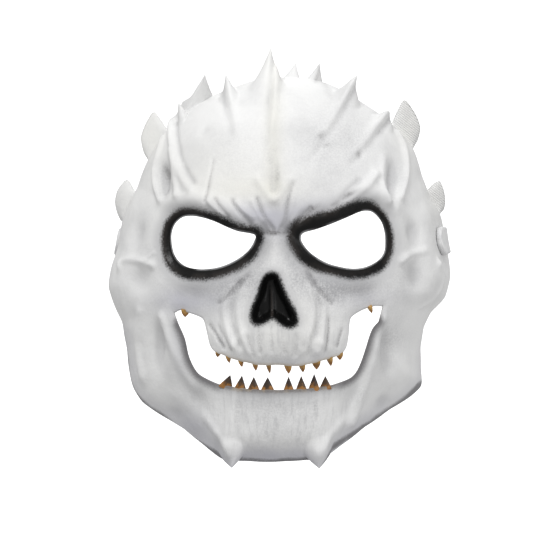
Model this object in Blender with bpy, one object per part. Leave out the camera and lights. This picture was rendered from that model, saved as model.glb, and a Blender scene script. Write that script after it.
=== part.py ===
"""Full-face skull mask, moulded in one piece of foam latex, on a white elastic strap.

Metres, +Z up. The face looks along -Y. The origin lies in the hollow of the mask,
level with the eyes, in line with the places where the strap is glued on.

The shell is one sheet, laid out flat round the middle of the face. A place on that
layout is (u, v) in millimetres: its direction from the middle is the direction in
the front view, and its distance says how far the sheet has turned round the head.
The tables are in millimetres and degrees. A place (x, z) in them is a place in the
front view, and is carried to the layout by sheet_place.
"""

import math
from collections import namedtuple

import bmesh
import bpy
import numpy as np
from mathutils.geometry import delaunay_2d_cdt

MM = 0.001

# Sizes that drive the shell
FACE_MIDDLE_Z = -15.0
SHEET_PER_RADIAN = 110.0
WALL = 3.0
SOCKET_DEPTH = 4.5
SOCKET_WIDTH = 8.0
LIP_DEPTH = 1.2
LIP_WIDTH = 4.0
NOSE_DEPTH = 8.0
NOSE_SLOPE = 3.5
DEEPEST_GROOVE = 1.5
AHEAD_WIDTH = 9.0
LEAST_AHEAD = 0.45
FIN_TURN = 97.0
FIN_HALF_TURN = 3.2
FIN_END = 0.14

# Sizes of the strap
BAND_WIDTH = 15.0
BAND_THICKNESS = 1.0
TAB_LENGTH = 23.0
TAB_WIDTH = 18.0
TAB_HEIGHT = 3.8
TAB_EDGE_HEIGHT = 2.9
BAND_UNDER_TAB = 12.0
BAND_ROOM = 2.1
DENT_WIDTH = 25.0
PLAIN_WIDTH = 21.0
GAP = 0.42

# How fine the meshes are, and how wide the finer parts of the shell are
COARSE_STEP = 8.2
FINE_STEP = 4.3
EDGE_STEP = 4.6
TOOTH_ROOM = 1.2
RIM_STEP = 6.2
CLEAR_HEIGHT = 1.7
INNER_STEP = 10.0
NOSE_STEP = 2.5
FINE_ROUND_EYE = 10.0
FINE_ROUND_TAB = 24.0
MAXILLA_MIDDLE = (-2.0, -45.0)
MAXILLA_HALF = (36.0, 28.0)
SHEET_REACH = 220.0
FACE_REACH = 190.0
NOSE_REACH = 90.0
RELIEF_REACH = 40.0

# The outline in the front view: distance from the middle of the face, how far back
# the sheet is there, how far it has turned, and how much further it turns to its rim
OUTLINE_COLUMNS = ("angle", "radius", "edge_y", "lean", "skirt")
OUTLINE = (
    (-166, 108.4, -6, 90, 13),
    (-160, 106.4, -11, 87, 12),
    (-151, 110.3, -17, 84, 9),
    (-145, 115.5, -21, 80, 5),
    (-140, 120.5, -25, 77, 2),
    (-135, 122.9, -30, 74, 0),
    (-127, 121.0, -42, 69, 0),
    (-120, 119.8, -51, 66, 0),
    (-113, 122.8, -61, 64, 0),
    (-106, 127.6, -71, 62, 0),
    (-99, 124.6, -76, 61, 0),
    (-88, 123.2, -78, 61, 0),
    (-76, 124.2, -73, 62, 0),
    (-71, 120.4, -67, 63, 0),
    (-62, 116.0, -54, 66, 0),
    (-52, 116.0, -40, 71, 0),
    (-45, 118.4, -30, 75, 0),
    (-40, 119.0, -24, 78, 2),
    (-36, 111.5, -20, 80, 5),
    (-30, 104.5, -15, 84, 9),
    (-23, 101.0, -11, 87, 12),
    (-17, 102.2, -8, 90, 13),
    (-11, 109.0, -4, 90, 14),
    (-4, 110.7, -1, 90, 15),
    (8, 109.1, -1, 90, 15),
    (17, 109.2, -4, 90, 14),
    (24, 106.4, -6, 90, 14),
    (32, 108.4, -8, 90, 15),
    (41, 114.4, -11, 90, 16),
    (52, 115.9, -15, 90, 18),
    (63, 117.0, -19, 90, 20),
    (75, 120.4, -21, 90, 22),
    (93, 120.4, -22, 90, 22),
    (105, 117.0, -20, 90, 21),
    (118, 115.8, -17, 90, 19),
    (129, 112.0, -13, 90, 17),
    (141, 107.6, -10, 90, 16),
    (151, 103.4, -6, 90, 16),
    (163, 104.6, -3, 90, 16),
    (174, 104.8, -1, 90, 16),
    (187, 110.2, -2, 90, 15),
)

# How far the middle line of the face stands in front of the origin, as (z, depth)
FRONT = (
    (-140, 102),
    (-110, 104),
    (-80, 104),
    (-45, 105),
    (-10, 101),
    (15, 101),
    (60, 104),
    (110, 104),
)

# Openings and the nose hollow, each a smooth loop through these places
EYE_LEFT = (
    (-15.0, 3.9), (-25.4, 6.1), (-32.6, 8.9), (-39.8, 12.2), (-47.0, 14.6), (-54.3, 15.8),
    (-60.5, 14.9), (-65.2, 10.6), (-67.2, 4.5), (-66.9, -2.4), (-65.1, -8.9), (-61.4, -13.5),
    (-56.3, -16.4), (-48.4, -17.5), (-39.7, -16.8), (-32.5, -14.7), (-25.4, -11.1),
    (-19.0, -6.1), (-15.4, -0.4),
)
EYE_RIGHT = (
    (15.8, 5.1), (24.1, 7.5), (32.9, 10.7), (42.5, 14.7), (49.7, 17.9), (54.0, 19.0),
    (58.5, 18.4), (62.6, 14.9), (65.4, 10.1), (66.8, 2.9), (66.6, -5.1), (64.4, -10.0),
    (60.4, -13.4), (53.6, -16.3), (45.6, -17.1), (36.0, -15.5), (28.1, -12.7),
    (20.1, -7.6), (15.4, -2.1), (13.9, 2.1),
)
NOSE = (
    (-10.3, -25.5), (-7.8, -21.5), (-4.7, -20.3), (-1.0, -21.2), (1.5, -26.8), (5.2, -35.5),
    (8.9, -42.3), (10.8, -47.3), (10.2, -51.6), (6.5, -53.2), (2.1, -51.6), (-1.0, -49.0),
    (-3.8, -47.4), (-6.6, -49.0), (-9.7, -51.0), (-14.0, -51.3), (-16.5, -47.9),
    (-15.9, -41.7), (-12.8, -34.2),
)
MOUTH_UPPER_EDGE = (
    (-65.1, -45.0), (-61.0, -43.2), (-55.9, -44.9), (-50.9, -46.6), (-47.1, -48.9),
    (-45.1, -55.6), (-43.0, -64.7), (-40.0, -68.9), (-35.3, -70.8), (-27.8, -73.7),
    (-19.5, -75.7), (-11.2, -77.2), (0.2, -77.1), (10.4, -77.9), (19.2, -76.6),
    (27.8, -74.4), (35.4, -72.2), (40.4, -69.3), (42.6, -65.5), (43.8, -58.6),
    (44.6, -49.6), (46.5, -46.6), (50.6, -44.0), (55.8, -41.7), (61.2, -40.6), (65.0, -41.0),
)
MOUTH_LOWER_EDGE = (
    (-62.6, -51.9), (-58.6, -61.1), (-56.0, -72.4), (-51.9, -80.8), (-47.3, -84.9),
    (-37.0, -89.5), (-29.1, -91.0), (-21.6, -92.0), (-14.1, -92.6), (-5.4, -92.8),
    (3.4, -92.8), (11.1, -92.4), (18.9, -92.0), (25.8, -91.3), (32.5, -90.1), (43.1, -86.5),
    (47.7, -83.1), (51.1, -77.0), (54.5, -67.1), (56.8, -59.6), (59.1, -54.3), (62.6, -50.4),
)

# Teeth: where the root meets the gum, its width, and the tip
Tooth = namedtuple("Tooth", "root_x root_width tip_x tip_z")
UPPER_TEETH = [Tooth(*row) for row in (
    (-58.2, 4.4, -58.4, -47.6),
    (-37.7, 3.6, -38.1, -72.6),
    (-31.3, 4.8, -30.6, -76.2),
    (-23.4, 5.0, -22.7, -78.6),
    (-14.6, 4.6, -14.1, -81.0),
    (-6.3, 5.2, -5.4, -82.6),
    (5.8, 4.8, 6.3, -82.8),
    (14.6, 4.8, 15.2, -82.0),
    (23.4, 4.8, 23.7, -80.2),
    (31.8, 4.6, 32.7, -78.2),
    (38.0, 4.0, 38.3, -74.4),
    (57.0, 5.0, 58.4, -45.2),
)]
LOWER_TEETH = [Tooth(*row) for row in (
    (-32.6, 7.0, -30.1, -83.6),
    (-23.9, 6.0, -22.8, -83.8),
    (-15.6, 6.2, -15.4, -84.6),
    (-6.9, 7.0, -6.8, -84.8),
    (6.3, 5.4, 6.2, -84.4),
    (14.2, 5.6, 14.1, -84.0),
    (22.1, 5.6, 22.2, -82.8),
    (29.3, 5.8, 29.2, -84.2),
)]

# Round bulges and hollows: half sizes across and along, turned by tilt
Dab = namedtuple("Dab", "x z half_x half_z tilt height")
DABS = [Dab(*row) for row in (
    (-46.5, 70, 5, 5, 0, -1.3),
    (-72, 40, 5, 14, 4, -5.0),
    (72.5, 40, 5.5, 14, -4, -5.0),
    (-8.5, 13, 5, 5, 0, 1.8),
    (7.5, 13, 5, 5, 0, 1.8),
    (-89.5, -24, 15, 11, 0, -4.0),
    (88, -20, 12, 13, 0, -4.0),
    (-90, 5, 12, 15, 0, -4.0),
    (87, 5, 11, 15, 0, -5.0),
    (-101, -15.5, 4, 5, 0, 1.4),
    (102, -14, 4, 5, 0, 1.2),
    (-76.5, -65, 8, 15, 12, -5.0),
    (68.5, -69, 8, 15, -8, -5.5),
    (-52.5, -97, 8, 10, 20, -2.0),
    (44.5, -98, 8, 12, -20, -2.0),
    (-35.5, -117, 6, 8, 0, 1.4),
    (33, -116, 6, 8, 0, 1.2),
    (-66, -108, 10, 8, 35, -2.0),
    (66, -102, 10, 8, -35, -2.5),
    (-57, -33, 14, 7, 0, -2.5),
    (53, -33, 14, 7, 0, -2.5),
    (-1.5, -64, 34, 15, 0, 5.0),
    (-2, -30, 20, 26, 0, 3.0),
    (-1.5, -122, 30, 14, 0, 3.0),
    (-47, -24, 20, 8, 0, 2.0),
    (45, -24, 20, 8, 0, 2.0),
)]

# Long ridges (height above 0) and grooves: the height at the start and end of each path
Stroke = namedtuple("Stroke", "name half_width start end path")
STROKES = [Stroke(*row) for row in (
    ("centre ridge", 3.2, 3.8, 0.8, ((-6.5, 118.5), (-3.5, 111), (-1.5, 99), (-2, 85.5), (-3.5, 69.5))),
    ("centre groove left", 2.6, -1.5, -0.6, ((-4, 102.5), (-6, 92.5), (-7.5, 79), (-8, 63), (-6, 49.5))),
    ("centre groove right", 2.4, -1.5, -0.5, ((1.5, 106), (1, 94.5), (0.5, 83.5), (-1, 69.5), (-1, 57))),
    ("centre hollow", 3.4, -0.8, -1.5, ((-3.5, 57), (-4, 44.5), (-3.5, 31))),
    ("frown arm left", 2.8, 1.4, 1.4, ((-13, 38), (-8, 31.5), (-3.5, 25.5))),
    ("frown arm right", 2.8, 1.4, 1.4, ((7.5, 38), (2.5, 31.5), (-2, 25.5))),
    ("crown ridge 2", 3.2, 3.6, 0.5, ((-33, 101), (-30, 91.5), (-28.5, 81.5), (-26, 67))),
    ("crown groove 2", 2.8, -1.5, -0.5, ((-36.5, 94.5), (-34, 85.5), (-31.5, 76), (-30, 66))),
    ("temple ridge left", 3.0, 4.0, 1.4, (
        (-65, 85.5), (-68, 76.5), (-68, 65.5), (-66.5, 55), (-63.5, 46), (-59.5, 37), (-55, 32),
    )),
    ("temple groove left", 2.2, -1.5, -1.2, (
        (-64.5, 82.5), (-65, 74), (-64.5, 67), (-63, 58.5), (-60.5, 49), (-57.5, 43), (-53.5, 37),
    )),
    ("crown ridge 3", 3.4, 4.6, 0.6, (
        (47.5, 101), (41.5, 91), (35.5, 79.5), (30.5, 71), (24.5, 61.5), (19, 53.5),
    )),
    ("crown groove 3", 3.0, -1.5, -0.8, (
        (46, 91), (40.5, 82), (35.5, 73), (29.5, 64.5), (24, 57.5), (19.5, 51),
    )),
    ("crown ridge 4", 3.4, 4.6, 0.5, ((68, 80), (61.5, 73.5), (56.5, 65.5), (50, 57), (44, 51))),
    ("crown groove 4", 3.0, -1.5, -0.8, ((68, 73), (62.5, 68), (57, 61), (51, 54.5), (46, 49))),
    ("temple rim left", 3.2, 2.0, 3.2, ((-73.5, 66), (-76, 56), (-78, 46.5), (-77.5, 36.5), (-74, 26))),
    ("temple inner rim left", 2.8, 1.2, 2.2, ((-68.5, 56.5), (-66.5, 47.5), (-65, 38), (-63, 28.5))),
    ("temple rim right", 3.2, 2.0, 3.2, ((75.5, 69.5), (79, 61.5), (80.5, 51.5), (80, 40.5), (76.5, 28.5))),
    ("temple inner rim right", 2.8, 1.2, 2.2, ((66.5, 52.5), (65, 42), (65.5, 32), (68, 24.5))),
    ("brow crest right", 3.2, 2.8, 2.0, ((61, 42), (56, 36), (49, 30), (41.5, 23.5), (34, 19.5))),
    ("brow groove long", 2.4, -1.4, -1.5, ((50.5, 38), (44.5, 32), (39.5, 26), (34, 22), (27, 18.5))),
    ("brow left", 6.5, 2.5, 3.6, ((-70, 24), (-55.5, 25.5), (-40.5, 21), (-26.5, 15), (-14, 9))),
    ("brow right", 6.5, 2.5, 3.6, ((73, 22), (62, 29), (51, 26), (35.5, 19), (21, 13), (12, 9))),
    ("bridge crease", 2.4, -1.5, -1.5, ((-9.5, 5.5), (-1, 3.5), (7.5, 5.5))),
    ("nose bridge", 6.0, 2.5, 2.0, ((-1, 0.5), (-1.5, -9), (-2.5, -17.5))),
    ("cheek bar left", 2.8, 0.8, 2.4, (
        (-102, -13.5), (-96.5, -11.5), (-91.5, -11.5), (-85.5, -13.5), (-79.5, -15),
    )),
    ("cheek bar right", 2.8, 2.6, 0.8, ((77.5, -12.5), (81.5, -10), (86, -8), (94, -5.5))),
    ("nose groove left", 2.4, -1.5, -1.4, (
        (-23.5, -27), (-26.5, -32.5), (-29, -40.5), (-29.5, -48.5), (-27, -56.5), (-24, -64.5),
    )),
    ("nose fold left", 2.6, 1.6, 2.0, (
        (-29, -29.5), (-32, -35.5), (-33.5, -41.5), (-32.5, -49), (-30, -57.5), (-28, -65.5),
    )),
    ("nose groove right", 2.4, -1.5, -1.4, ((19, -22.5), (23, -32), (25, -41), (24, -50.5), (22, -59.5))),
    ("nose fold right", 2.6, 1.6, 2.0, ((24, -30.5), (27.5, -40), (27.5, -49), (26.5, -58.5), (26, -68))),
    ("jaw side left", 4.6, 1.6, 2.4, ((-87.5, -44.5), (-89, -59), (-88.5, -72), (-86, -85))),
    ("jaw ridge left", 3.8, 2.4, 1.6, ((-73.5, -48), (-70, -59), (-65.5, -69.5), (-60.5, -80), (-55, -89.5))),
    ("jaw ridge right", 3.8, 2.8, 2.6, (
        (66, -50.5), (62.5, -65), (59, -77.5), (55.5, -87), (51, -99.5), (46, -113.5),
    )),
    ("chin ridge left", 3.2, 1.2, 2.6, ((-27, -94), (-28.5, -108.5), (-30, -123))),
    ("chin ridge right", 3.2, 1.2, 2.6, ((23.5, -96), (23.5, -108.5), (23, -124.5))),
    ("chin corner left", 3.4, 1.4, 2.2, ((-45, -111), (-38.5, -118.5), (-31.5, -125))),
    ("chin corner right", 3.4, 1.4, 2.2, ((38.5, -114), (31.5, -120.5), (24.5, -126.5))),
)]

# Tooth roots that show as flutes over the upper gum: from one side to the other, and how high they are
FLUTE_COUNT = 9
FLUTE_HALF_WIDTH = 2.0
FLUTE_HEIGHT = 0.8
FLUTE_TOP = (-19.0, 14.0, -56.0)
FLUTE_FOOT = (-33.0, 34.0, -69.0)
FLUTE_BOW = 6.0

# Spikes: foot and tip, the half sizes of the foot round the head and up it, and how hollow the sides are
Spike = namedtuple("Spike", "foot_x foot_z tip_x tip_y tip_z half_round half_up flare")
SPIKES = [Spike(*row) for row in (
    (-7.5, 99, -4.9, -44, 123.4, 14, 20, 1.9),
    (-32, 92, -33, -48, 104.8, 7, 13, 1.3),
    (-54.5, 87.5, -46.6, -42, 106.2, 14.5, 14, 1.1),
    (-62, 78, -63.4, -40, 88.6, 5.5, 9, 1.1),
    (43.5, 91, 49.3, -42, 103.8, 10, 14, 1.3),
    (66.5, 75, 70.2, -38, 81.0, 9, 10, 1.1),
    (-30, -131, -28.9, -80, -141.6, 9, 10, 1.0),
    (25.5, -130.5, 25.2, -80, -142.0, 10, 10, 1.0),
)]

# Two spikes behind the crown: direction and turn of the foot instead of a place
BackSpike = namedtuple("BackSpike", "angle turn tip_x tip_y tip_z half_round half_up flare")
BACK_SPIKES = [BackSpike(*row) for row in (
    (86, 97, 11.2, -6, 115.4, 6.5, 9, 1.4),
    (79, 97, 26.4, -6, 115.0, 6, 9, 1.2),
)]

# Flat fins on the sides: the directions between which each one stands, and its crest in the front view
Fin = namedtuple("Fin", "first last crest")
FINS = [Fin(*row) for row in (
    (128.6, 141.9, (
        (-70.5, 73.5), (-75.5, 78.5), (-80, 83.6), (-84.5, 78), (-88.2, 69), (-88, 62.5), (-85, 51.5),
    )),
    (152.4, 165.2, (
        (-92, 33), (-94.5, 37), (-97.5, 40.3), (-101.5, 37), (-104.4, 32), (-105.4, 24.5), (-103, 15),
        (-99, 10),
    )),
    (51.9, 40.2, (
        (72.5, 77.5), (76.5, 84.8), (80.8, 91.2), (86, 85.5), (90, 78), (91, 71), (87.5, 59),
    )),
    (27.1, 17.0, (
        (95, 33.5), (99, 37), (103.5, 39.3), (106, 35), (107.4, 29), (107.4, 24), (105.5, 17),
    )),
)]

# Where the strap is glued on: direction, turn at the middle of the tab, and the flat dent under it
Tab = namedtuple("Tab", "name angle turn dent")
TABS = [Tab(*row) for row in (
    ("right", 8.5, 78.0, -2.2),
    ("left", 171.5, 97.5, -3.0),
)]

# The free part of the band, from behind the right rim round the back of the head to the left
BAND_ROUTE = (
    (107.0, 43.0, -5.0),
    (98.5, 63.0, -14.0),
    (82.0, 81.0, -24.5),
    (56.0, 94.5, -30.0),
    (24.0, 101.5, -31.5),
    (-8.0, 102.5, -31.5),
    (-40.0, 98.5, -31.5),
    (-69.0, 86.5, -28.5),
    (-89.0, 68.0, -17.5),
    (-99.0, 50.0, -6.5),
)
BAND_STEPS = 44
BAND_LINES = 3

COLOURS = {
    "mask_shell": ((0.78, 0.78, 0.79), 0.55),
    "strap_band": ((0.86, 0.86, 0.84), 0.85),
    "strap_tab": ((0.80, 0.80, 0.80), 0.55),
}


def smooth_step(low, high, value):
    share = np.clip((value - low) / (high - low), 0.0, 1.0)
    return share * share * (3.0 - 2.0 * share)


def smooth_path(points, closed=False, steps=6):
    """More points on a smooth curve through the given ones."""
    points = np.asarray(points, float)
    if closed:
        before, after, after2 = np.roll(points, 1, 0), np.roll(points, -1, 0), np.roll(points, -2, 0)
    else:
        first = 2 * points[0] - points[1]
        last = 2 * points[-1] - points[-2]
        longer = np.vstack([first, points, last])
        before, points, after, after2 = longer[:-3], longer[1:-2], longer[2:-1], longer[3:]
    share = np.arange(steps)[None, :, None] / steps
    p0, p1, p2, p3 = (p[:, None, :] for p in (before, points, after, after2))
    curve = 0.5 * (
        2 * p1
        + (p2 - p0) * share
        + (2 * p0 - 5 * p1 + 4 * p2 - p3) * share**2
        + (3 * p1 - p0 - 3 * p2 + p3) * share**3
    )
    curve = curve.reshape(-1, points.shape[1])
    return curve if closed else np.vstack([curve, after[-1]])


def resampled(path, count):
    """The given number of points at even distances along a path, its ends among them."""
    along = np.concatenate([[0.0], np.cumsum(np.linalg.norm(np.diff(path, axis=0), axis=1))])
    at = np.linspace(0.0, along[-1], count)
    return np.column_stack([np.interp(at, along, path[:, k]) for k in range(path.shape[1])])


def spaced(path, step, closed=False):
    """Points at even distances of about one step along a path."""
    path = np.vstack([path, path[:1]]) if closed else path
    length = np.linalg.norm(np.diff(path, axis=0), axis=1).sum()
    found = resampled(path, max(3, round(length / step)) + 1)
    return found[:-1] if closed else found


def circular_blur(values, width):
    reach = np.arange(-4 * width, 4 * width + 1)
    weights = np.exp(-0.5 * (reach / width) ** 2)
    total = sum(weight * np.roll(values, shift) for weight, shift in zip(weights, reach))
    return total / weights.sum()


DIRECTIONS = np.arange(360.0)


def ring_tables():
    """Each column of the outline at every degree, and the radius without its bays."""
    angles, *columns = np.array(OUTLINE).T
    tables = {}
    for name, column in zip(OUTLINE_COLUMNS[1:], columns):
        width = 1 if name == "radius" else 4
        tables[name] = circular_blur(np.interp(DIRECTIONS, angles, column, period=360), width)
    tables["mean_radius"] = circular_blur(tables["radius"], 20)
    return tables


RING = ring_tables()


def ring(name, angle):
    return np.interp(angle, DIRECTIONS, RING[name], period=360)


def front_depth(z):
    heights, depths = np.array(FRONT).T
    around = np.interp(z - 12, heights, depths) + np.interp(z + 12, heights, depths)
    return 0.5 * np.interp(z, heights, depths) + 0.25 * around


def base_place(u, v):
    """The smooth form that the relief stands on, as (x, y, z) in mm."""
    angle = np.degrees(np.arctan2(v, u))
    turn = np.hypot(u, v) / SHEET_PER_RADIAN
    lean = np.radians(ring("lean", angle))
    share = np.sin(turn) / np.sin(lean)
    mean = ring("mean_radius", angle)
    radius = share * (mean + (ring("radius", angle) - mean) * smooth_step(0.55, 1.0, share))
    x = radius * np.cos(np.radians(angle))
    z = FACE_MIDDLE_Z + radius * np.sin(np.radians(angle))
    rise = (np.cos(turn) - np.cos(lean)) / (1.0 - np.cos(lean))
    edge = ring("edge_y", angle)
    return np.stack([x, edge - (front_depth(z) + edge) * rise, z], axis=-1)


def sheet_place(x, z):
    """The layout place (u, v) that shows at (x, z) in the front view."""
    x, z = np.asarray(x, float), np.asarray(z, float)
    angle = np.degrees(np.arctan2(z - FACE_MIDDLE_Z, x))
    distance = np.hypot(x, z - FACE_MIDDLE_Z)
    mean, full = ring("mean_radius", angle), ring("radius", angle)
    share = distance / full
    for _ in range(12):
        share = distance / (mean + (full - mean) * smooth_step(0.55, 1.0, share))
    turn = np.arcsin(np.clip(share * np.sin(np.radians(ring("lean", angle))), 0.0, 0.9999))
    return layout(angle, np.degrees(turn))


def layout(angle, turn):
    reach = np.radians(turn) * SHEET_PER_RADIAN
    return np.stack([reach * np.cos(np.radians(angle)), reach * np.sin(np.radians(angle))], axis=-1)


def outward(u, v):
    step = 0.2
    along_u = base_place(u + step, v) - base_place(u - step, v)
    along_v = base_place(u, v + step) - base_place(u, v - step)
    normal = np.cross(along_u, along_v)
    return normal / np.linalg.norm(normal, axis=-1, keepdims=True)


def boxed(u, v, path, reach):
    """Whether each place lies in the box round a path, grown by a reach."""
    low, high = path.min(axis=0) - reach, path.max(axis=0) + reach
    return (u > low[0]) & (u < high[0]) & (v > low[1]) & (v < high[1])


def path_distance(u, v, path, reach=RELIEF_REACH):
    """Distance to a path, at most the reach, and how far along the path its nearest point is, 0 to 1."""
    used = boxed(u, v, path, reach)
    near_u, near_v = u[used], v[used]
    lengths = np.linalg.norm(np.diff(path, axis=0), axis=1)
    starts = np.concatenate([[0.0], np.cumsum(lengths)])
    best = np.full(near_u.shape, reach)
    best_along = np.zeros(near_u.shape)
    for (ax, ay), (bx, by), length, start in zip(path[:-1], path[1:], lengths, starts):
        dx, dy = bx - ax, by - ay
        share = np.clip(((near_u - ax) * dx + (near_v - ay) * dy) / (length * length), 0.0, 1.0)
        distance = np.hypot(near_u - ax - share * dx, near_v - ay - share * dy)
        nearer = distance < best
        best = np.where(nearer, distance, best)
        best_along = np.where(nearer, (start + share * length) / starts[-1], best_along)
    found, along = np.full(u.shape, reach), np.zeros(u.shape)
    found[used], along[used] = best, best_along
    return found, along


def inside(u, v, loop):
    """Whether each place lies within a closed loop."""
    used = boxed(u, v, loop, 0.0)
    near_u, near_v = u[used], v[used]
    crossed = np.zeros(near_u.shape, bool)
    for (ax, ay), (bx, by) in zip(loop, np.roll(loop, -1, 0)):
        if ay == by:
            continue
        crosses = (ay > near_v) != (by > near_v)
        crossed ^= crosses & (near_u < (bx - ax) * (near_v - ay) / (by - ay) + ax)
    found = np.zeros(u.shape, bool)
    found[used] = crossed
    return found


def loop_depth(u, v, loop):
    """Distance to a closed loop, above 0 within it, up to the reach of the relief."""
    distance, _ = path_distance(u, v, np.vstack([loop, loop[:1]]))
    return np.where(inside(u, v, loop), distance, -distance)


def stretch(place):
    """Real millimetres per layout millimetre at a place: away from the middle of the face, and round it."""
    away = place / np.linalg.norm(place)
    step = 0.5 * np.stack([away, [-away[1], away[0]]])
    ahead, behind = place + step, place - step
    moved = base_place(ahead[:, 0], ahead[:, 1]) - base_place(behind[:, 0], behind[:, 1])
    return np.linalg.norm(moved, axis=1)


def axes(place):
    """Layout directions away from the middle of the face and round it, one real millimetre long."""
    away = place / np.linalg.norm(place)
    along, around = stretch(place)
    return away / along, np.array([-away[1], away[0]]) / around


def on_sheet(points):
    points = np.asarray(points, float)
    return sheet_place(points[:, 0], points[:, 1])


def mouth_edges():
    """The two gum lines without their teeth, from the left corner to the right one."""
    return smooth_path(MOUTH_UPPER_EDGE), smooth_path(MOUTH_LOWER_EDGE)


def toothed(edge, teeth):
    """A gum line with a pointed tooth at each row of the table."""
    edge = spaced(edge, EDGE_STEP * 0.75)
    pieces, start = [], -math.inf
    for tooth in teeth:
        left, right = tooth.root_x - tooth.root_width / 2, tooth.root_x + tooth.root_width / 2
        keep = (edge[:, 0] > start + TOOTH_ROOM) & (edge[:, 0] < left - TOOTH_ROOM)
        roots = [(x, np.interp(x, edge[:, 0], edge[:, 1])) for x in (left, right)]
        pieces += [edge[keep], roots[:1], [(tooth.tip_x, tooth.tip_z)], roots[1:]]
        start = right
    pieces.append(edge[edge[:, 0] > start + TOOTH_ROOM])
    return np.vstack([piece for piece in pieces if len(piece)])


def openings():
    """The closed loops on the sheet: two eyes and the mouth with its teeth."""
    upper, lower = mouth_edges()
    mouth = np.vstack([toothed(upper, UPPER_TEETH), toothed(lower, LOWER_TEETH)[::-1]])
    return {
        "eye_left": spaced(on_sheet(smooth_path(EYE_LEFT, closed=True)), EDGE_STEP, closed=True),
        "eye_right": spaced(on_sheet(smooth_path(EYE_RIGHT, closed=True)), EDGE_STEP, closed=True),
        "mouth": on_sheet(mouth),
    }


def rim_loop(step):
    turn = RING["lean"] + RING["skirt"]
    return spaced(layout(DIRECTIONS, turn), step, closed=True)


EYE_LOOPS = [on_sheet(smooth_path(eye, closed=True, steps=3)) for eye in (EYE_LEFT, EYE_RIGHT)]
NOSE_LOOP = on_sheet(smooth_path(NOSE, closed=True, steps=2))
MOUTH_LOOP = on_sheet(np.vstack([spaced(mouth_edges()[0], 4.0), spaced(mouth_edges()[1], 4.0)[::-1]]))
STROKE_PATHS = [on_sheet(smooth_path(stroke.path, steps=3)) for stroke in STROKES]


def flutes():
    """Straight ribs that fan out from the nose to the upper teeth."""
    rows = []
    for number in range(FLUTE_COUNT):
        share = number / (FLUTE_COUNT - 1)
        top_x = FLUTE_TOP[0] + share * (FLUTE_TOP[1] - FLUTE_TOP[0])
        foot_x = FLUTE_FOOT[0] + share * (FLUTE_FOOT[1] - FLUTE_FOOT[0])
        foot_z = FLUTE_FOOT[2] - FLUTE_BOW * math.sin(math.pi * share)
        rows.append(on_sheet([(top_x, FLUTE_TOP[2]), (foot_x, foot_z)]))
    return rows


FLUTE_PATHS = flutes()


def bell(share):
    return np.exp(-(share**2))


def edge_gap(u, v, loops):
    """Distance to the nearest of the openings, 0 within them."""
    return np.min([np.maximum(-loop_depth(u, v, loop), 0.0) for loop in loops], axis=0)


def deep_relief(u, v, widen):
    """What the inner face of the wall follows too: the eye sockets, the lip and the nose hollow."""
    sockets = SOCKET_DEPTH * bell(edge_gap(u, v, EYE_LOOPS) / SOCKET_WIDTH)
    lip = LIP_DEPTH * bell(edge_gap(u, v, [MOUTH_LOOP]) / LIP_WIDTH)
    nose = NOSE_DEPTH * smooth_step(-widen, NOSE_SLOPE - 0.6 * widen, loop_depth(u, v, NOSE_LOOP))
    return -sockets - lip - nose


def raised(u, v, height):
    """The base form moved by a height: square to it, but straight ahead near an opening.

    So an opening's edge stays where the front view has it, and its wall is cut straight through.
    """
    square = outward(u, v)
    ahead = np.zeros(square.shape)
    ahead[..., 1] = 1.0 / np.minimum(square[..., 1], -LEAST_AHEAD)
    share = bell(edge_gap(u, v, [*EYE_LOOPS, MOUTH_LOOP]) / AHEAD_WIDTH)[..., None]
    return base_place(u, v) + height[..., None] * (square + share * (ahead - square))


def stroke_relief(u, v):
    """Ridges and grooves, with grooves that cross no deeper than one."""
    height = np.zeros(u.shape)
    for stroke, path in zip(STROKES, STROKE_PATHS):
        distance, along = path_distance(u, v, path)
        height += (stroke.start + (stroke.end - stroke.start) * along) * bell(distance / stroke.half_width)
    for path in FLUTE_PATHS:
        distance, _ = path_distance(u, v, path)
        height += FLUTE_HEIGHT * bell(distance / FLUTE_HALF_WIDTH)
    return np.maximum(height, -DEEPEST_GROOVE)


def dab_relief(u, v, dabs):
    height = np.zeros(u.shape)
    for dab in dabs:
        middle = sheet_place(dab.x, dab.z)
        turned = math.radians(dab.tilt)
        across = (u - middle[0]) * math.cos(turned) + (v - middle[1]) * math.sin(turned)
        along = (v - middle[1]) * math.cos(turned) - (u - middle[0]) * math.sin(turned)
        height += dab.height * bell(across / dab.half_x) * bell(along / dab.half_z)
    return height


def tab_distances(u, v):
    """Each tab with the distances from its middle."""
    middles = [layout(tab.angle, tab.turn) for tab in TABS]
    return [(tab, np.hypot(u - middle[0], v - middle[1])) for tab, middle in zip(TABS, middles)]


def surface_relief(u, v):
    """Ridges, grooves, bulges and dents of the outer face, which is plain under the tabs."""
    height = dab_relief(u, v, DABS) + stroke_relief(u, v)
    for tab, distance in tab_distances(u, v):
        height *= 1.0 - np.exp(-((distance / PLAIN_WIDTH) ** 6))
        height += tab.dent * np.exp(-((distance / DENT_WIDTH) ** 4))
    return height


def spike_feet():
    """Each spike with the place of its foot on the sheet."""
    front = [(spike, sheet_place(spike.foot_x, spike.foot_z)) for spike in SPIKES]
    return front + [(spike, layout(spike.angle, spike.turn)) for spike in BACK_SPIKES]


def spike_reach(u, v):
    reach = np.zeros(u.shape + (3,))
    for spike, foot in spike_feet():
        up, round_head = axes(foot)
        du, dv = u - foot[0], v - foot[1]
        across = (du * round_head[0] + dv * round_head[1]) / (spike.half_round * round_head @ round_head)
        along = (du * up[0] + dv * up[1]) / (spike.half_up * up @ up)
        weight = np.clip(1.0 - np.hypot(across, along), 0.0, 1.0) ** spike.flare
        tip = np.array([spike.tip_x, spike.tip_y, spike.tip_z])
        reach += weight[..., None] * (tip - base_place(foot[0], foot[1]))
    return reach


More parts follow.
